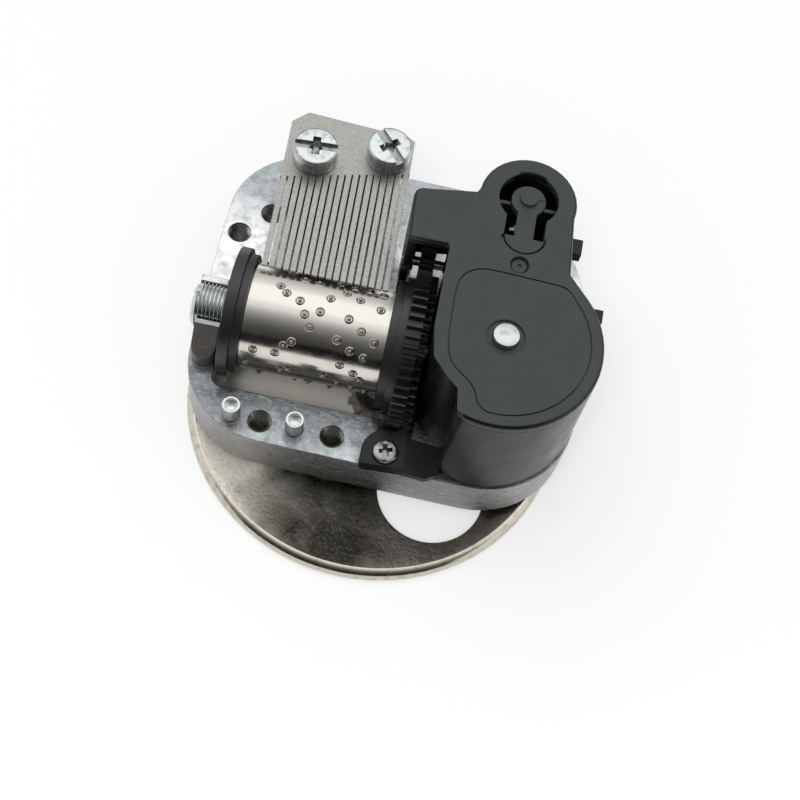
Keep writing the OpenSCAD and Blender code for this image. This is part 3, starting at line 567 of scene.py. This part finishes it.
def moved(bm: BMesh, turn: float, axis: Axis, to: Sequence[float] = (0, 0, 0)) -> BMesh:
    """Turns a mesh round an axis through the origin and then moves it.

    Args:
        bm: the mesh.
        turn: the angle in degrees.
        axis: the axis.
        to: where the origin goes.

    Returns:
        The same mesh.
    """
    matrix = Matrix.Rotation(math.radians(turn), 3, axis.name)
    bmesh.ops.rotate(bm, cent=Vector(), matrix=matrix, verts=bm.verts)
    bmesh.ops.translate(bm, vec=Vector(to), verts=bm.verts)
    return bm


def box(low: Sequence[float], high: Sequence[float]) -> BMesh:
    """Makes a block between two corners, in millimetres."""
    bm = bmesh.new()
    middle, size = (Vector(low) + Vector(high)) / 2, Vector(high) - Vector(low)
    bmesh.ops.create_cube(bm, size=1.0, matrix=Matrix.Translation(middle) @ Matrix.Diagonal((*size, 1.0)))
    return bm


def driver_arm(half: Point, low: float, high: float, narrow: Point) -> BMesh:
    """Makes the cutter for an arm of a screw's cross, which narrows towards its bottom.

    Args:
        half: half its size in X and Y at the top.
        low: height of its bottom.
        high: height of its top.
        narrow: the share of each half that is left at the bottom.

    Returns:
        The cutter, centred on the Z axis.
    """
    bm = box((-half[0], -half[1], low), (*half, high))
    for vert in bm.verts:
        if vert.co.z < (low + high) / 2:
            vert.co.x *= narrow[0]
            vert.co.y *= narrow[1]
    return bm


def as_object(bm: BMesh, name: str) -> Object:
    """Puts a mesh in the scene and frees it; its size is kept as it is."""
    mesh = bpy.data.meshes.new(name)
    bm.to_mesh(mesh)
    bm.free()
    made = bpy.data.objects.new(name, mesh)
    bpy.context.scene.collection.objects.link(made)
    return made


def carve(bm: BMesh, *cutters: BMesh) -> BMesh:
    """Cuts meshes out of another.

    Args:
        bm: the mesh that is cut.
        cutters: what is taken away.

    Returns:
        What is left.
    """
    target = as_object(bm, "carve_target")
    tools = [as_object(cutter, "carve_tool") for cutter in cutters]
    for tool in tools:
        cut = target.modifiers.new("cut", "BOOLEAN")
        cut.operation, cut.solver, cut.object = "DIFFERENCE", "EXACT", tool
    seen = target.evaluated_get(bpy.context.evaluated_depsgraph_get())
    left = bmesh.new()
    left.from_mesh(seen.to_mesh())
    for spent in [target, *tools]:
        mesh = spent.data
        bpy.data.objects.remove(spent)
        bpy.data.meshes.remove(mesh)
    return left


def merge(meshes: Iterable[BMesh]) -> BMesh:
    """Puts several meshes into one."""
    whole = bmesh.new()
    for bm in meshes:
        part = bpy.data.meshes.new("part")
        bm.to_mesh(part)
        bm.free()
        whole.from_mesh(part)
        bpy.data.meshes.remove(part)
    return whole


def place(bm: BMesh, name: str, finish: Finish, body: Body, stands_for: Sequence[str] = (),
          smooth: float = 32.0) -> Object:
    """Makes a finished piece of a mesh and lets it ride on its body.

    Args:
        bm: the mesh in millimetres, at its place in the row frame.
        name: the piece's name.
        finish: its surface.
        body: the body that it rides on.
        stands_for: the CAD nodes that it stands for.
        smooth: angle in degrees below which neighbouring faces shade as one.

    Returns:
        The piece.
    """
    bmesh.ops.scale(bm, vec=Vector((MM,) * 3), verts=bm.verts)
    piece = as_object(bm, name)
    piece.data.materials.append(finish.material())
    piece.data.shade_smooth()
    piece.data.set_sharp_from_angle(angle=math.radians(smooth))
    level = piece.modifiers.new("flat faces stay flat", "WEIGHTED_NORMAL")
    level.mode, level.weight, level.keep_sharp = "FACE_AREA", 50, True
    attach(piece, body.value)
    if stands_for:
        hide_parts(*stands_for)
    LOG.info("%s: %d faces on %s", name, len(piece.data.polygons), body.value)
    return piece


def second_finish(piece: Object, finish: Finish, where: Callable[[Vector, Vector], bool]) -> None:
    """Gives some faces of a piece another finish.

    Args:
        piece: the piece.
        finish: the other surface.
        where: says from a face's centre in millimetres and its normal whether it takes it.
    """
    piece.data.materials.append(finish.material())
    number = len(piece.data.materials) - 1
    for face in piece.data.polygons:
        if where(face.center / MM, face.normal):
            face.material_index = number


def dress(nodes: Iterable[str], finish: Finish) -> None:
    """Gives CAD nodes that are kept as they are their finish."""
    for name in nodes:
        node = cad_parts[name]
        if not node.material_slots:
            node.data.materials.append(None)
        for slot in node.material_slots:
            slot.material = finish.material()
        LOG.info("%s: packed solid in %s", name, finish.name)


# Sub-assemblies, with all sizes in millimetres


@dataclass
class TurningDisc:
    """The nickel plated disc that winds the movement, with its hub below the plate."""

    radius: float = 25.0
    edge: float = 0.25
    sheet: float = 0.9
    rim_height: float = 1.7
    rim_width: float = 1.1
    swell: float = 1.1
    # The web stands at this level between the rim and the thinner middle
    level: float = 1.25
    middle: float = 7.6
    bore: float = 2.0
    hole: Point = (9.58, -11.41)
    hole_radius: float = 7.0
    hole_edge: float = 0.14

    def build(self) -> None:
        """Builds the disc and dresses its hub."""
        self.disc()
        dress(["disc_hub", "hub_clip", "hub_pinion"], HUB_STEEL)

    def disc(self) -> None:
        """Spins the disc with its rolled rim and cuts the finger hole."""
        r, t, top, level, e = self.radius, self.sheet, self.rim_height, self.level, self.edge
        inner = r - self.rim_width
        profile = [(self.bore, 0.0), (r - e, 0.0), (r - e * 0.3, e * 0.3), (r, e)]
        profile += [(inner + self.rim_width * math.cos(a), top - self.swell * (1 - math.sin(a)))
                    for a in (math.radians(9 * i) for i in range(11))]
        profile += [(inner - 0.5, top - 0.02), (inner - 1.4, top - 0.12), (inner - 2.8, level + 0.14),
                    (inner - 4.2, level + 0.02), (inner - 5.0, level), (self.middle, level),
                    (self.middle - 0.6, t), (self.bore, t), (self.bore, 0.0)]
        k, s = self.hole_radius, self.hole_edge
        hole = turned([(0, -1.0), (k + s, -1.0), (k + s, 0.0), (k, s), (k, level - s),
                       (k + s * 0.3, level - s * 0.3), (k + s, level), (k + s, 3.0), (0, 3.0)],
                      Axis.Z, (*self.hole, 0), 96)
        disc = carve(turned(profile, Axis.Z, (0, 0, 0), 160), hole)
        disc = place(disc, "turning_disc", DISC_NICKEL, Body.DISC, ["winding_disc"])
        second_finish(disc, RIM_NICKEL, lambda p, n: p.xy.length > inner and p.z > 0.1)


@dataclass
class Bedplate:
    """The zinc casting that carries everything, with its threads and the drum's axle screw."""

    top: float = 10.0
    foot: float = 3.0
    post_top: float = 13.0
    posts_back: float = -9.0
    clamp_top: float = 15.15
    tongue_right: float = -20.4
    tongue_slope: float = 42.0
    tongue_mark: tuple[float, float, float] = (-22.55, -3.0, 13.73)
    mark_half: Point = (0.9, 0.8)
    mark_depth: float = 0.07
    holes: tuple[Point, ...] = ((-13.65, -10.55), (-4.35, -10.55), (-22.4, 16.1), (-18.75, 20.05))
    tap_turns: int = 12
    pitch: float = 0.5
    axis_y: float = 1.88
    axis_z: float = 13.95
    screw_radius: float = 2.95
    screw_ends: Point = (-25.0, -20.5)
    screw_turns: int = 8
    slot_half: float = 0.35
    slot_depth: float = 0.8

    def build(self) -> None:
        """Builds the casting, the tapped holes' threads and the axle screw."""
        self.casting()
        self.threads()
        self.axle_screw()

    def casting(self) -> None:
        """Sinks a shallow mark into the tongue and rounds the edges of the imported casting."""
        (x, y), above = self.mark_half, 1.0
        mark = moved(box((-x, -y, -self.mark_depth), (x, y, above)), self.tongue_slope, Axis.X, self.tongue_mark)
        bm = carve(solid_copy("bedplate"), mark)
        bmesh.ops.dissolve_limit(bm, angle_limit=FLAT, verts=bm.verts, edges=bm.edges)
        for width, height in ((0.22, self.top), (0.2, self.foot), (0.08, self.post_top)):
            round_edges(bm, width, on_level(height))
        round_edges(bm, 0.25, lambda p: p.z > self.top + 0.5 and p.x < self.tongue_right - 0.5
                    and p.y < self.axis_y - self.screw_radius)
        round_edges(bm, 0.2, lambda p: abs(p.z - self.clamp_top) < 0.11 and p.y > self.axis_y + 2.6)
        refill(bm, self.top)
        casting = place(bm, "bedplate_casting", ZINC_CASTING, Body.MOVEMENT, ["bedplate"])
        for face in casting.data.polygons:
            face.use_smooth = face.normal.z < 0.9999
        # Painted highlight: the posts' upper ends take a brighter copy of the zinc
        second_finish(casting, POST_HIGHLIGHT_ZINC, lambda p, n: p.z > self.post_top - 1.2 and p.y < self.posts_back)
        # Painted reflection: the tongue's forward slope takes a darker, warmer, half metal copy of the zinc
        second_finish(casting, TONGUE_REFLECTION_ZINC,
                      lambda p, n: p.z > self.top + 0.3 and p.x < self.tongue_right and n.y < -0.3)

    def threads(self) -> None:
        """Winds a fine thread down the wall of each tapped hole."""
        start = self.top - 0.35 - self.tap_turns * self.pitch
        ridge = [(1.53, 0.0), (1.27, 0.2), (1.27, 0.26), (1.53, 0.46)]
        for number, centre in enumerate(self.holes, 1):
            bm = turned(ridge, Axis.Z, (*centre, start), 28, self.tap_turns, self.pitch)
            bmesh.ops.reverse_faces(bm, faces=bm.faces)
            place(bm, f"tapped_thread_{number}", THREAD_ZINC, Body.MOVEMENT, smooth=30.0)

    def axle_screw(self) -> None:
        """Turns the axle screw's slotted core and winds its thread."""
        start, end = self.screw_ends
        r, y, z, half = self.screw_radius, self.axis_y, self.axis_z, self.slot_half
        profile = [(0, start + 0.3), (1.2, start + 0.3), (1.3, start), (r - 0.6, start), (r - 0.28, start + 0.3),
                   (r - 0.28, end - 0.1), (1.0, end), (0, end)]
        slot = box((start - 1, y - half, z - 4), (start + self.slot_depth, y + half, z + 4))
        core = carve(turned(profile, Axis.X, (0, y, z), 72), slot)
        ridge = [(r - 0.32, 0.0), (r - 0.04, 0.16), (r, 0.22), (r - 0.04, 0.28), (r - 0.32, 0.44)]
        thread = turned(ridge, Axis.X, (start + 0.25, y, z), 48, self.screw_turns, self.pitch)
        bmesh.ops.holes_fill(thread, edges=[e for e in thread.edges if e.is_boundary], sides=len(ridge))
        bmesh.ops.recalc_face_normals(thread, faces=thread.faces)
        place(merge([core, thread]), "axle_screw_threaded", ZINC_PLATE, Body.MOVEMENT, ["axle_screw"])


@dataclass
class Comb:
    """The tuned steel comb with its two screws."""

    top: float = 20.5
    edge: float = 0.035
    # Each screw's centre and its slot's angle in degrees from +X
    screws: tuple[tuple[Point, float], ...] = (((-14.1025, 22.95), 5.0), ((-4.9025, 25.45), -50.0))
    head_radius: float = 2.85
    head_height: float = 2.7
    head_edge: float = 0.24
    shank_radius: float = 1.5
    shank_length: float = 7.0
    rings: int = 9
    ring_pitch: float = 0.22
    ring_depth: float = 0.035
    slot_half: float = 0.62
    slot_depth: float = 0.5
    arm_half: Point = (0.6, 1.7)
    heart_half: Point = (1.0, 1.0)
    cross_depth: float = 1.2

    def build(self) -> None:
        """Builds the comb and both screws."""
        bm = solid_copy("comb")
        round_edges(bm, self.edge, on_level(self.top), segments=1)
        place(bm, "steel_comb", COMB_STEEL, Body.MOVEMENT, ["comb"])
        heads = merge(self.screw(centre, turn) for centre, turn in self.screws)
        heads = place(heads, "comb_screw_pair", ZINC_PLATE, Body.MOVEMENT, ["comb_screws"])
        # Painted shade: the slots and crosses take the darker plate
        second_finish(heads, DARKER_PLATE_AND_SHADE, lambda p, n: self.in_slot(p))

    def in_slot(self, p: Vector) -> bool:
        """Says whether a point lies in the slot or the cross of a screw."""
        depth, inside = self.top + self.head_height - p.z, self.head_radius - 0.06
        return 0.05 < depth < 1.3 and any((p.xy - Vector(at)).length < inside for at, _ in self.screws)

    def screw(self, centre: Point, turn: float) -> BMesh:
        """Turns a flat ringed screw head and presses a slot and a cross into it.

        Args:
            centre: the screw's axis.
            turn: the slot's angle in degrees from +X.

        Returns:
            The screw's mesh.
        """
        r, low, high = self.head_radius, self.top, self.top + self.head_height
        edge, shank, ring, pitch = self.head_edge, self.shank_radius, self.ring_depth, self.ring_pitch
        foot = low - self.shank_length
        profile = [(0, foot), (shank, foot), (shank, low), (r - 0.15, low), (r, low + 0.15)]
        for i in range(self.rings):
            z = low + pitch + i * pitch
            profile += [(r, z), (r - ring, z + 0.07), (r - ring, z + 0.12), (r, z + 0.19)]
        profile += [(r, high - edge)]
        profile += [(r - edge + edge * math.cos(a), high - edge + edge * math.sin(a) * 0.8)
                    for a in map(math.radians, (22, 45, 68, 90))]
        profile += [(r * 0.6, high), (0, high)]
        bm = turned(profile, Axis.Z, (*centre, 0), 72)
        bottom, above = high - self.cross_depth, high + 0.5
        slot = box((-4, -self.slot_half, high - self.slot_depth), (4, self.slot_half, high + 1))
        arm = driver_arm(self.arm_half, bottom, above, (0.55, 0.35))
        heart = moved(driver_arm(self.heart_half, bottom, above, (0.4, 0.4)), 45, Axis.Z)
        bm = carve(bm, *(moved(cutter, turn, Axis.Z, (*centre, 0)) for cutter in (slot, arm, heart)))
        bmesh.ops.remove_doubles(bm, verts=bm.verts, dist=MERGE_COPY)
        return bm


@dataclass
class Drum:
    """The pinned drum with its black end pieces."""

    axis_y: float = 1.88
    axis_z: float = 13.95
    radius: float = 6.75
    ends: Point = (-17.9, -0.1)
    wall: float = 0.6
    edge: float = 0.08
    pin_height: float = 0.35
    pin_radius: float = 0.27
    first_note: float = -16.95
    pitch: float = 0.905
    steps_to_turn: int = 240
    tune: tuple[tuple[int, ...], ...] = (
        (119, 172, 211, 20), (104, 149, 232), (138, 186, 222, 12), (53, 163, 205), (34, 58, 103, 177),
        (96, 120, 158, 214), (41, 62, 92, 117, 190), (71, 145, 228), (42, 79, 168, 200), (67, 133, 183, 15),
        (55, 152, 219), (36, 116, 174, 236), (47, 84, 140, 196), (38, 68, 102, 122, 165), (51, 90, 155, 209),
        (38, 75, 107, 125, 181), (93, 112, 147, 225), (40, 56, 81, 128, 192))

    def build(self) -> None:
        """Builds the sleeve, its pins and the end pieces."""
        self.sleeve()
        # The pins' darker nickel is a painted dark reflection
        place(merge(self.pin(note, step) for note, steps in enumerate(self.tune) for step in steps),
              "drum_pins", PIN_NICKEL, Body.DRUM, smooth=50.0)
        for node, width, segments in (("drum_left_cap", 0.14, 2), ("drum_gear", 0.06, 1)):
            bm = solid_copy(node)
            round_edges(bm, width, lambda p: True, segments)
            place(bm, f"{node}_moulded", GEAR_PLASTIC, Body.DRUM, [node])
        dress(["drum_axle"], DARK_STEEL)

    def sleeve(self) -> None:
        """Turns the sleeve with broken edges."""
        x0, x1 = self.ends
        r, t, e = self.radius, self.wall, self.edge
        profile = [(r - t, x0), (r - e, x0), (r, x0 + e), (r, x1 - e), (r - e, x1), (r - t, x1), (r - t, x0)]
        bm = turned(profile, Axis.X, (0, self.axis_y, self.axis_z), 160)
        place(bm, "nickel_sleeve", DRUM_NICKEL, Body.DRUM, ["drum_sleeve"])

    def pin(self, note: int, step: int) -> BMesh:
        """Turns one pin with the ring that was pressed up round it.

        Args:
            note: number of the note, from the left.
            step: its place round the drum.

        Returns:
            The pin's mesh on the drum.
        """
        r, h = self.pin_radius, self.pin_height
        profile = [(0.64, -0.06), (0.57, 0.03), (0.5, 0.07), (0.42, 0.04), (0.34, -0.03), (r, 0.0), (r, h * 0.35),
                   (r * 0.94, h * 0.6), (r * 0.76, h * 0.82), (r * 0.42, h * 0.97), (0, h)]
        pin, turn = turned(profile, Axis.Z, (0, 0, self.radius), 14), 360 * step / self.steps_to_turn - 90
        return moved(pin, turn, Axis.X, (self.first_note + self.pitch * note, self.axis_y, self.axis_z))


@dataclass
class SpringHousing:
    """The black housing over spring and governor, with its grained lid."""

    top: float = 27.6
    lid_foot: float = 26.4
    plate_top: float = 10.0
    arbor: Point = (13.53, -1.43)
    window: Point = (13.53, 17.4)
    fan_axis: Point = (13.53, 18.6)
    boss: float = 1.5
    lid_screw_at: Point = (13.73, 8.85)
    # The lid's outer rim lies further than this from the centres of window, arbor and lid screw
    rim_clear: tuple[float, float, float] = (4.8, 3.0, 1.4)
    foot_screw_at: Point = (2.582, -12.092)
    foot_screw_z: Point = (11.6, 12.6)
    # The foot screw's cross: each arm's angle and half sizes
    foot_cross: tuple[tuple[float, Point], ...] = ((20, (1.1, 0.33)), (65, (0.55, 0.55)), (110, (1.1, 0.33)))
    # The line round the arbor's panel: its left and back, and an arc by radius, first and last angle
    panel: tuple[Point, ...] = (
        (11.3, -10.7), (11.03, -9.5), (10.2, -8.3), (8.9, -7.35), (7.7, -6.4), (7.0, -4.8), (6.72, -2.6),
        (6.62, 0.7), (6.6, 3.5), (6.75, 4.9), (7.4, 6.2), (8.6, 7.1), (10.2, 7.45), (13.6, 7.35), (17.0, 7.25),
        (19.4, 7.2), (20.5, 6.6))
    panel_arc: tuple[float, float, float] = (10.35, 40, -96)
    line_width: float = 0.2
    line_depth: float = 0.3

    def build(self) -> None:
        """Builds the housing, its lid and their screws."""
        bm = solid_copy("spring_housing")
        round_edges(bm, 0.25, lambda p: p.z < self.plate_top + 3)
        round_edges(bm, 0.08, on_level(self.lid_foot))
        place(bm, "housing_shell", HOUSING_PLASTIC, Body.MOVEMENT, ["spring_housing"])
        self.lid()
        self.foot_screw()
        bm = solid_copy("lid_screw")
        round_edges(bm, 0.1, lambda p: p.z > self.lid_foot)
        place(bm, "lid_screw_black", LID_PLASTIC, Body.MOVEMENT, ["lid_screw"])
        dress(["drum_bearing", "fan_bearing"], BRASS)

    def lid(self) -> None:
        """Rounds the lid's rim well and its other edges a little, and scores the panel's line into it."""
        bm = solid_copy("housing_lid")
        on_top = on_level(self.top)
        round_edges(bm, 0.55, lambda p: on_top(p) and self.outer_rim(p), 4, clamp=False)
        round_edges(bm, 0.14, lambda p: on_top(p) and not self.outer_rim(p)
                    and (p.xy - Vector(self.fan_axis)).length > self.boss)
        round_edges(bm, 0.08, on_level(self.lid_foot))
        lid = place(carve(bm, self.groove()), "grained_lid", LID_PLASTIC, Body.MOVEMENT, ["housing_lid"])
        second_finish(lid, LID_RIM, lambda p, n: p.z < self.top - 0.02 and n.z < 0.97 and self.outer_rim(p))

    def outer_rim(self, p: Vector) -> bool:
        """Says whether a point lies away from the lid's window, arbor and screw, and from the panel's line."""
        away = [(p.xy - Vector(at)).length for at in (self.window, self.arbor, self.lid_screw_at)]
        in_line = p.z > self.top - self.line_depth - 0.01 and away[1] < self.panel_arc[0] + 0.35
        return all(a > least for a, least in zip(away, self.rim_clear)) and not in_line

    def groove(self) -> BMesh:
        """Returns the cutter for the thin line round the arbor's panel."""
        bm = bmesh.new()
        (x, y), (r, start, end), steps = self.arbor, self.panel_arc, 24
        angles = [math.radians(start + (end - start) * i / steps) for i in range(steps + 1)]
        line = [*self.panel, *((x + r * math.cos(a), y + r * math.sin(a)) for a in angles)]
        corners = [bm.verts.new((*at, self.top - self.line_depth)) for at in line]
        loop = [bm.edges.new(pair) for pair in zip(corners, corners[1:] + corners[:1])]
        bmesh.ops.subdivide_edges(bm, edges=loop, cuts=3)
        for _ in range(4):
            bmesh.ops.smooth_vert(bm, verts=bm.verts, factor=0.5, use_axis_x=True, use_axis_y=True)
        bmesh.ops.contextual_create(bm, geom=bm.edges)
        bmesh.ops.recalc_face_normals(bm, faces=bm.faces)
        ring = bmesh.ops.inset_region(bm, faces=bm.faces, thickness=self.line_width, use_boundary=True,
                                      use_even_offset=True)["faces"]
        bmesh.ops.delete(bm, geom=[f for f in bm.faces if f not in ring], context="FACES")
        raised = bmesh.ops.extrude_face_region(bm, geom=list(bm.faces), use_keep_orig=True)["geom"]
        bmesh.ops.translate(bm, vec=Vector((0, 0, 1.0)), verts=[g for g in raised if isinstance(g, BMVert)])
        bmesh.ops.remove_doubles(bm, verts=bm.verts, dist=MERGE_NEW)
        bmesh.ops.recalc_face_normals(bm, faces=bm.faces)
        return bm

    def foot_screw(self) -> None:
        """Turns the bright round screw in the foot's seat and presses its cross."""
        at, (low, high) = (*self.foot_screw_at, 0), self.foot_screw_z
        profile = [(0, low - 7.5), (0.95, low - 7.5), (0.95, low), (1.5, low), (1.6, low + 0.1),
                   (1.6, high - 0.35), (1.55, high - 0.15), (1.4, high - 0.03), (1.2, high), (0, high)]
        arms = [moved(driver_arm(half, high - 0.95, high + 0.5, (0.4, 0.6)), turn, Axis.Z, at)
                for turn, half in self.foot_cross]
        screw = carve(turned(profile, Axis.Z, at, 48), *arms)
        place(screw, "foot_screw_bright", DARKER_PLATE_AND_SHADE, Body.MOVEMENT, ["foot_screw"])


@dataclass
class SpringTrain:
    """Arbor, barrel and the winding wheels; only the arbor's end shows from above."""

    arbor: Point = (13.53, -1.43)
    radius: float = 1.6
    edge: float = 0.16
    foot: float = 1.4
    top: float = 28.2
    core_radius: float = 2.3
    core_z: Point = (11.6, 22.0)

    def build(self) -> None:
        """Turns the arbor and dresses the wheels."""
        r, e, foot, top = self.radius, self.edge, self.foot, self.top
        core, (low, high) = self.core_radius, self.core_z
        profile = [(0, foot), (r - e, foot), (r, foot + e), (r, low), (core, low), (core, high), (r, high),
                   (r, top - e), (r - e * 0.35, top - e * 0.35), (r - e, top), (0, top)]
        arbor = turned(profile, Axis.Z, (*self.arbor, 0))
        place(arbor, "arbor_turned", BRIGHT_STEEL, Body.ARBOR, ["winding_arbor"])
        dress(["arbor_gear", "drive_wheel"], DARK_STEEL)
        dress(["ratchet_wheel", "arbor_clip", "click"], BRIGHT_STEEL)
        dress(["click_screw"], ZINC_PLATE)
        dress(["spring_barrel", "barrel_cover", "mainspring"], SPRING_STEEL)


@dataclass
class Governor:
    """The governor's arbor, wheels and fan inside the housing."""

    def build(self) -> None:
        """Dresses the governor's pieces."""
        dress(["governor_arbor", "worm_shaft", "governor_bracket"], BRIGHT_STEEL)
        dress(["worm_wheel"], BRASS)
        dress(["governor_pinion", "air_brake"], GEAR_PLASTIC)


# Studio


@dataclass
class Studio:
    """Plain pale floor, soft lamps and the camera at the photograph's angle."""

    camera_at: tuple[float, float, float] = (0.016, -85.664, 172.201)
    camera_turn: tuple[float, float, float] = (26.185, -6.238, 10.300)
    lens: float = 63.984
    sensor: float = 36.0
    # Strength of the white room as a light, and the share of the floor's white that is its own
    room: float = 0.58
    floor_glow: float = 0.45

    def build(self) -> None:
        """Sets up floor, world, lamps and camera."""
        self.floor()
        self.world()
        self.lamp("key_softbox", (-170, 170, 540), 500, 1.0)
        self.lamp("fill_softbox", (-30, -190, 400), 150, 0.6)
        self.card("dark_wall_front", (0, -420, 95), (1000, 190), 90, "0C0C0C", "0C0C0C")
        self.card("shaded_ceiling_front", (0, -350, 455), (1400, 760), 40, "404040", "FFFFFF", 3.2)
        self.card("bright_panel_back", (0, 225, 420), (800, 380), 0, "FFFFFF", "FFFFFF", 1.0, 1.3)
        self.card("pale_wall_back", (0, 460, 200), (1400, 400), 90, "8E8E8E", "FFFFFF", 0.8)
        self.camera()
        bpy.context.scene.view_settings.view_transform = "Standard"

    def floor(self) -> None:
        """Lays the floor that the disc stands on, a hair below it."""
        bm = bmesh.new()
        bmesh.ops.create_grid(bm, x_segments=1, y_segments=1, size=3.0)
        bmesh.ops.translate(bm, vec=Vector((0, 0, -0.02 * MM)), verts=bm.verts)
        floor = as_object(bm, "floor")
        # Dull paper that stays white in the picture and still takes the object's shadow
        paper, tree = empty_material("matt_white_paper")
        sheet = add_node(tree, "BsdfDiffuse", {"Color": linear("F8F8F8"), "Roughness": 1.0})
        white = add_node(tree, "Emission", {"Color": linear("FFFFFF"), "Strength": 1.0})
        mixed = add_node(tree, "MixShader", links={
            0: self.seen(tree, (0.0, self.floor_glow)), 1: sheet, 2: white})
        add_node(tree, "OutputMaterial", links={"Surface": mixed})
        floor.data.materials.append(paper)

    def world(self) -> None:
        """Makes the room white for the camera and for reflections, and softer as a light."""
        world = bpy.data.worlds.new("studio_room")
        bpy.context.scene.world = world
        world.use_nodes = True
        tree = world.node_tree
        tree.nodes.clear()
        light = add_node(tree, "Background", {"Color": linear("FFFFFF")},
                         {"Strength": self.seen(tree, (self.room, 1.0))})
        add_node(tree, "OutputWorld", links={"Surface": light})

    def seen(self, tree: NodeTree, values: Point) -> Source:
        """Tells what is seen from light on the object.

        Args:
            tree: the tree of a material or of the world.
            values: one for light on the object, and one for what the camera, mirrors and glass see.

        Returns:
            One of the two values.
        """
        rays = add_node(tree, "LightPath")
        shown = rays.outputs["Is Camera Ray"]
        for other in ("Is Glossy Ray", "Is Transmission Ray"):
            shown = add_node(tree, "Math", {"operation": "MAXIMUM"}, {0: shown, 1: rays.outputs[other]})
        return add_node(tree, "MapRange", limits((0.0, 1.0), values), {"Value": shown})

    def lamp(self, name: str, at: Sequence[float], size: float, power: float) -> None:
        """Hangs a square softbox that faces the movement.

        Args:
            name: the lamp's name.
            at: its place in millimetres.
            size: its side in millimetres.
            power: watts.
        """
        data = bpy.data.lights.new(name, "AREA")
        data.energy, data.size = power, size * MM
        lamp = bpy.data.objects.new(name, data)
        lamp.visible_glossy = False
        lamp.location = Vector(at) * MM
        lamp.rotation_euler = (-Vector(at)).to_track_quat("-Z", "Y").to_euler()
        bpy.context.scene.collection.objects.link(lamp)

    def card(self, name: str, at: Sequence[float], size: Point, tilt: float, foot: str, head: str,
             bend: float = 1.0, strength: float = 1.0) -> None:
        """Stands a card outside the view, which only reflections see in place of the white room behind it.

        Args:
            name: the card's name.
            at: its centre in millimetres.
            size: width and height in millimetres.
            tilt: its angle round X in degrees, 90 stands upright.
            foot: how its lower edge looks in a mirror, a hex code.
            head: how its upper edge looks.
            bend: above 1 the foot's tone reaches further up.
            strength: brightness, 1 is the white room's.
        """
        bm = bmesh.new()
        bmesh.ops.create_grid(bm, x_segments=1, y_segments=1, size=0.5)
        bmesh.ops.scale(bm, vec=Vector((size[0] * MM, size[1] * MM, 1)), verts=bm.verts)
        card = as_object(moved(bm, tilt, Axis.X, Vector(at) * MM), name)
        cloth, tree = empty_material(f"{name}_cloth")
        parts = add_node(tree, "SeparateXYZ", links={"Vector": add_node(tree, "TexCoord").outputs["Object"]})
        half = size[1] / 2 * math.sin(math.radians(tilt))
        rise = add_node(tree, "MapRange", limits(((at[2] - half) * MM, (at[2] + half + 1) * MM)),
                        {"Value": parts.outputs["Z"]})
        curve = add_node(tree, "Math", {"operation": "POWER", 1: bend}, {0: rise})
        glow = add_node(tree, "Emission", {"Strength": strength}, {"Color": coats(tree, foot, (curve, head))})
        add_node(tree, "OutputMaterial", links={"Surface": glow})
        card.data.materials.append(cloth)
        card.visible_camera = card.visible_diffuse = card.visible_shadow = False

    def camera(self) -> None:
        """Sets the camera where the photograph was taken from."""
        data = bpy.data.cameras.new("camera")
        data.sensor_width, data.lens = self.sensor, self.lens
        data.clip_start, data.clip_end = 0.01, 20.0
        camera = bpy.data.objects.new("camera", data)
        camera.location = Vector(self.camera_at) * MM
        camera.rotation_euler = Euler([math.radians(a) for a in self.camera_turn])
        bpy.context.scene.collection.objects.link(camera)
        bpy.context.scene.camera = camera


def main() -> None:
    """Builds the studio, and then the movement from the disc up."""
    logging.basicConfig(level=logging.INFO, format="%(name)s: %(message)s")
    movement = (TurningDisc(), Bedplate(), Comb(), Drum(), SpringHousing(), SpringTrain(), Governor())
    for assembly in (Studio(), *movement):
        LOG.info("building %s", type(assembly).__name__)
        assembly.build()


if __name__ == "__main__":
    main()
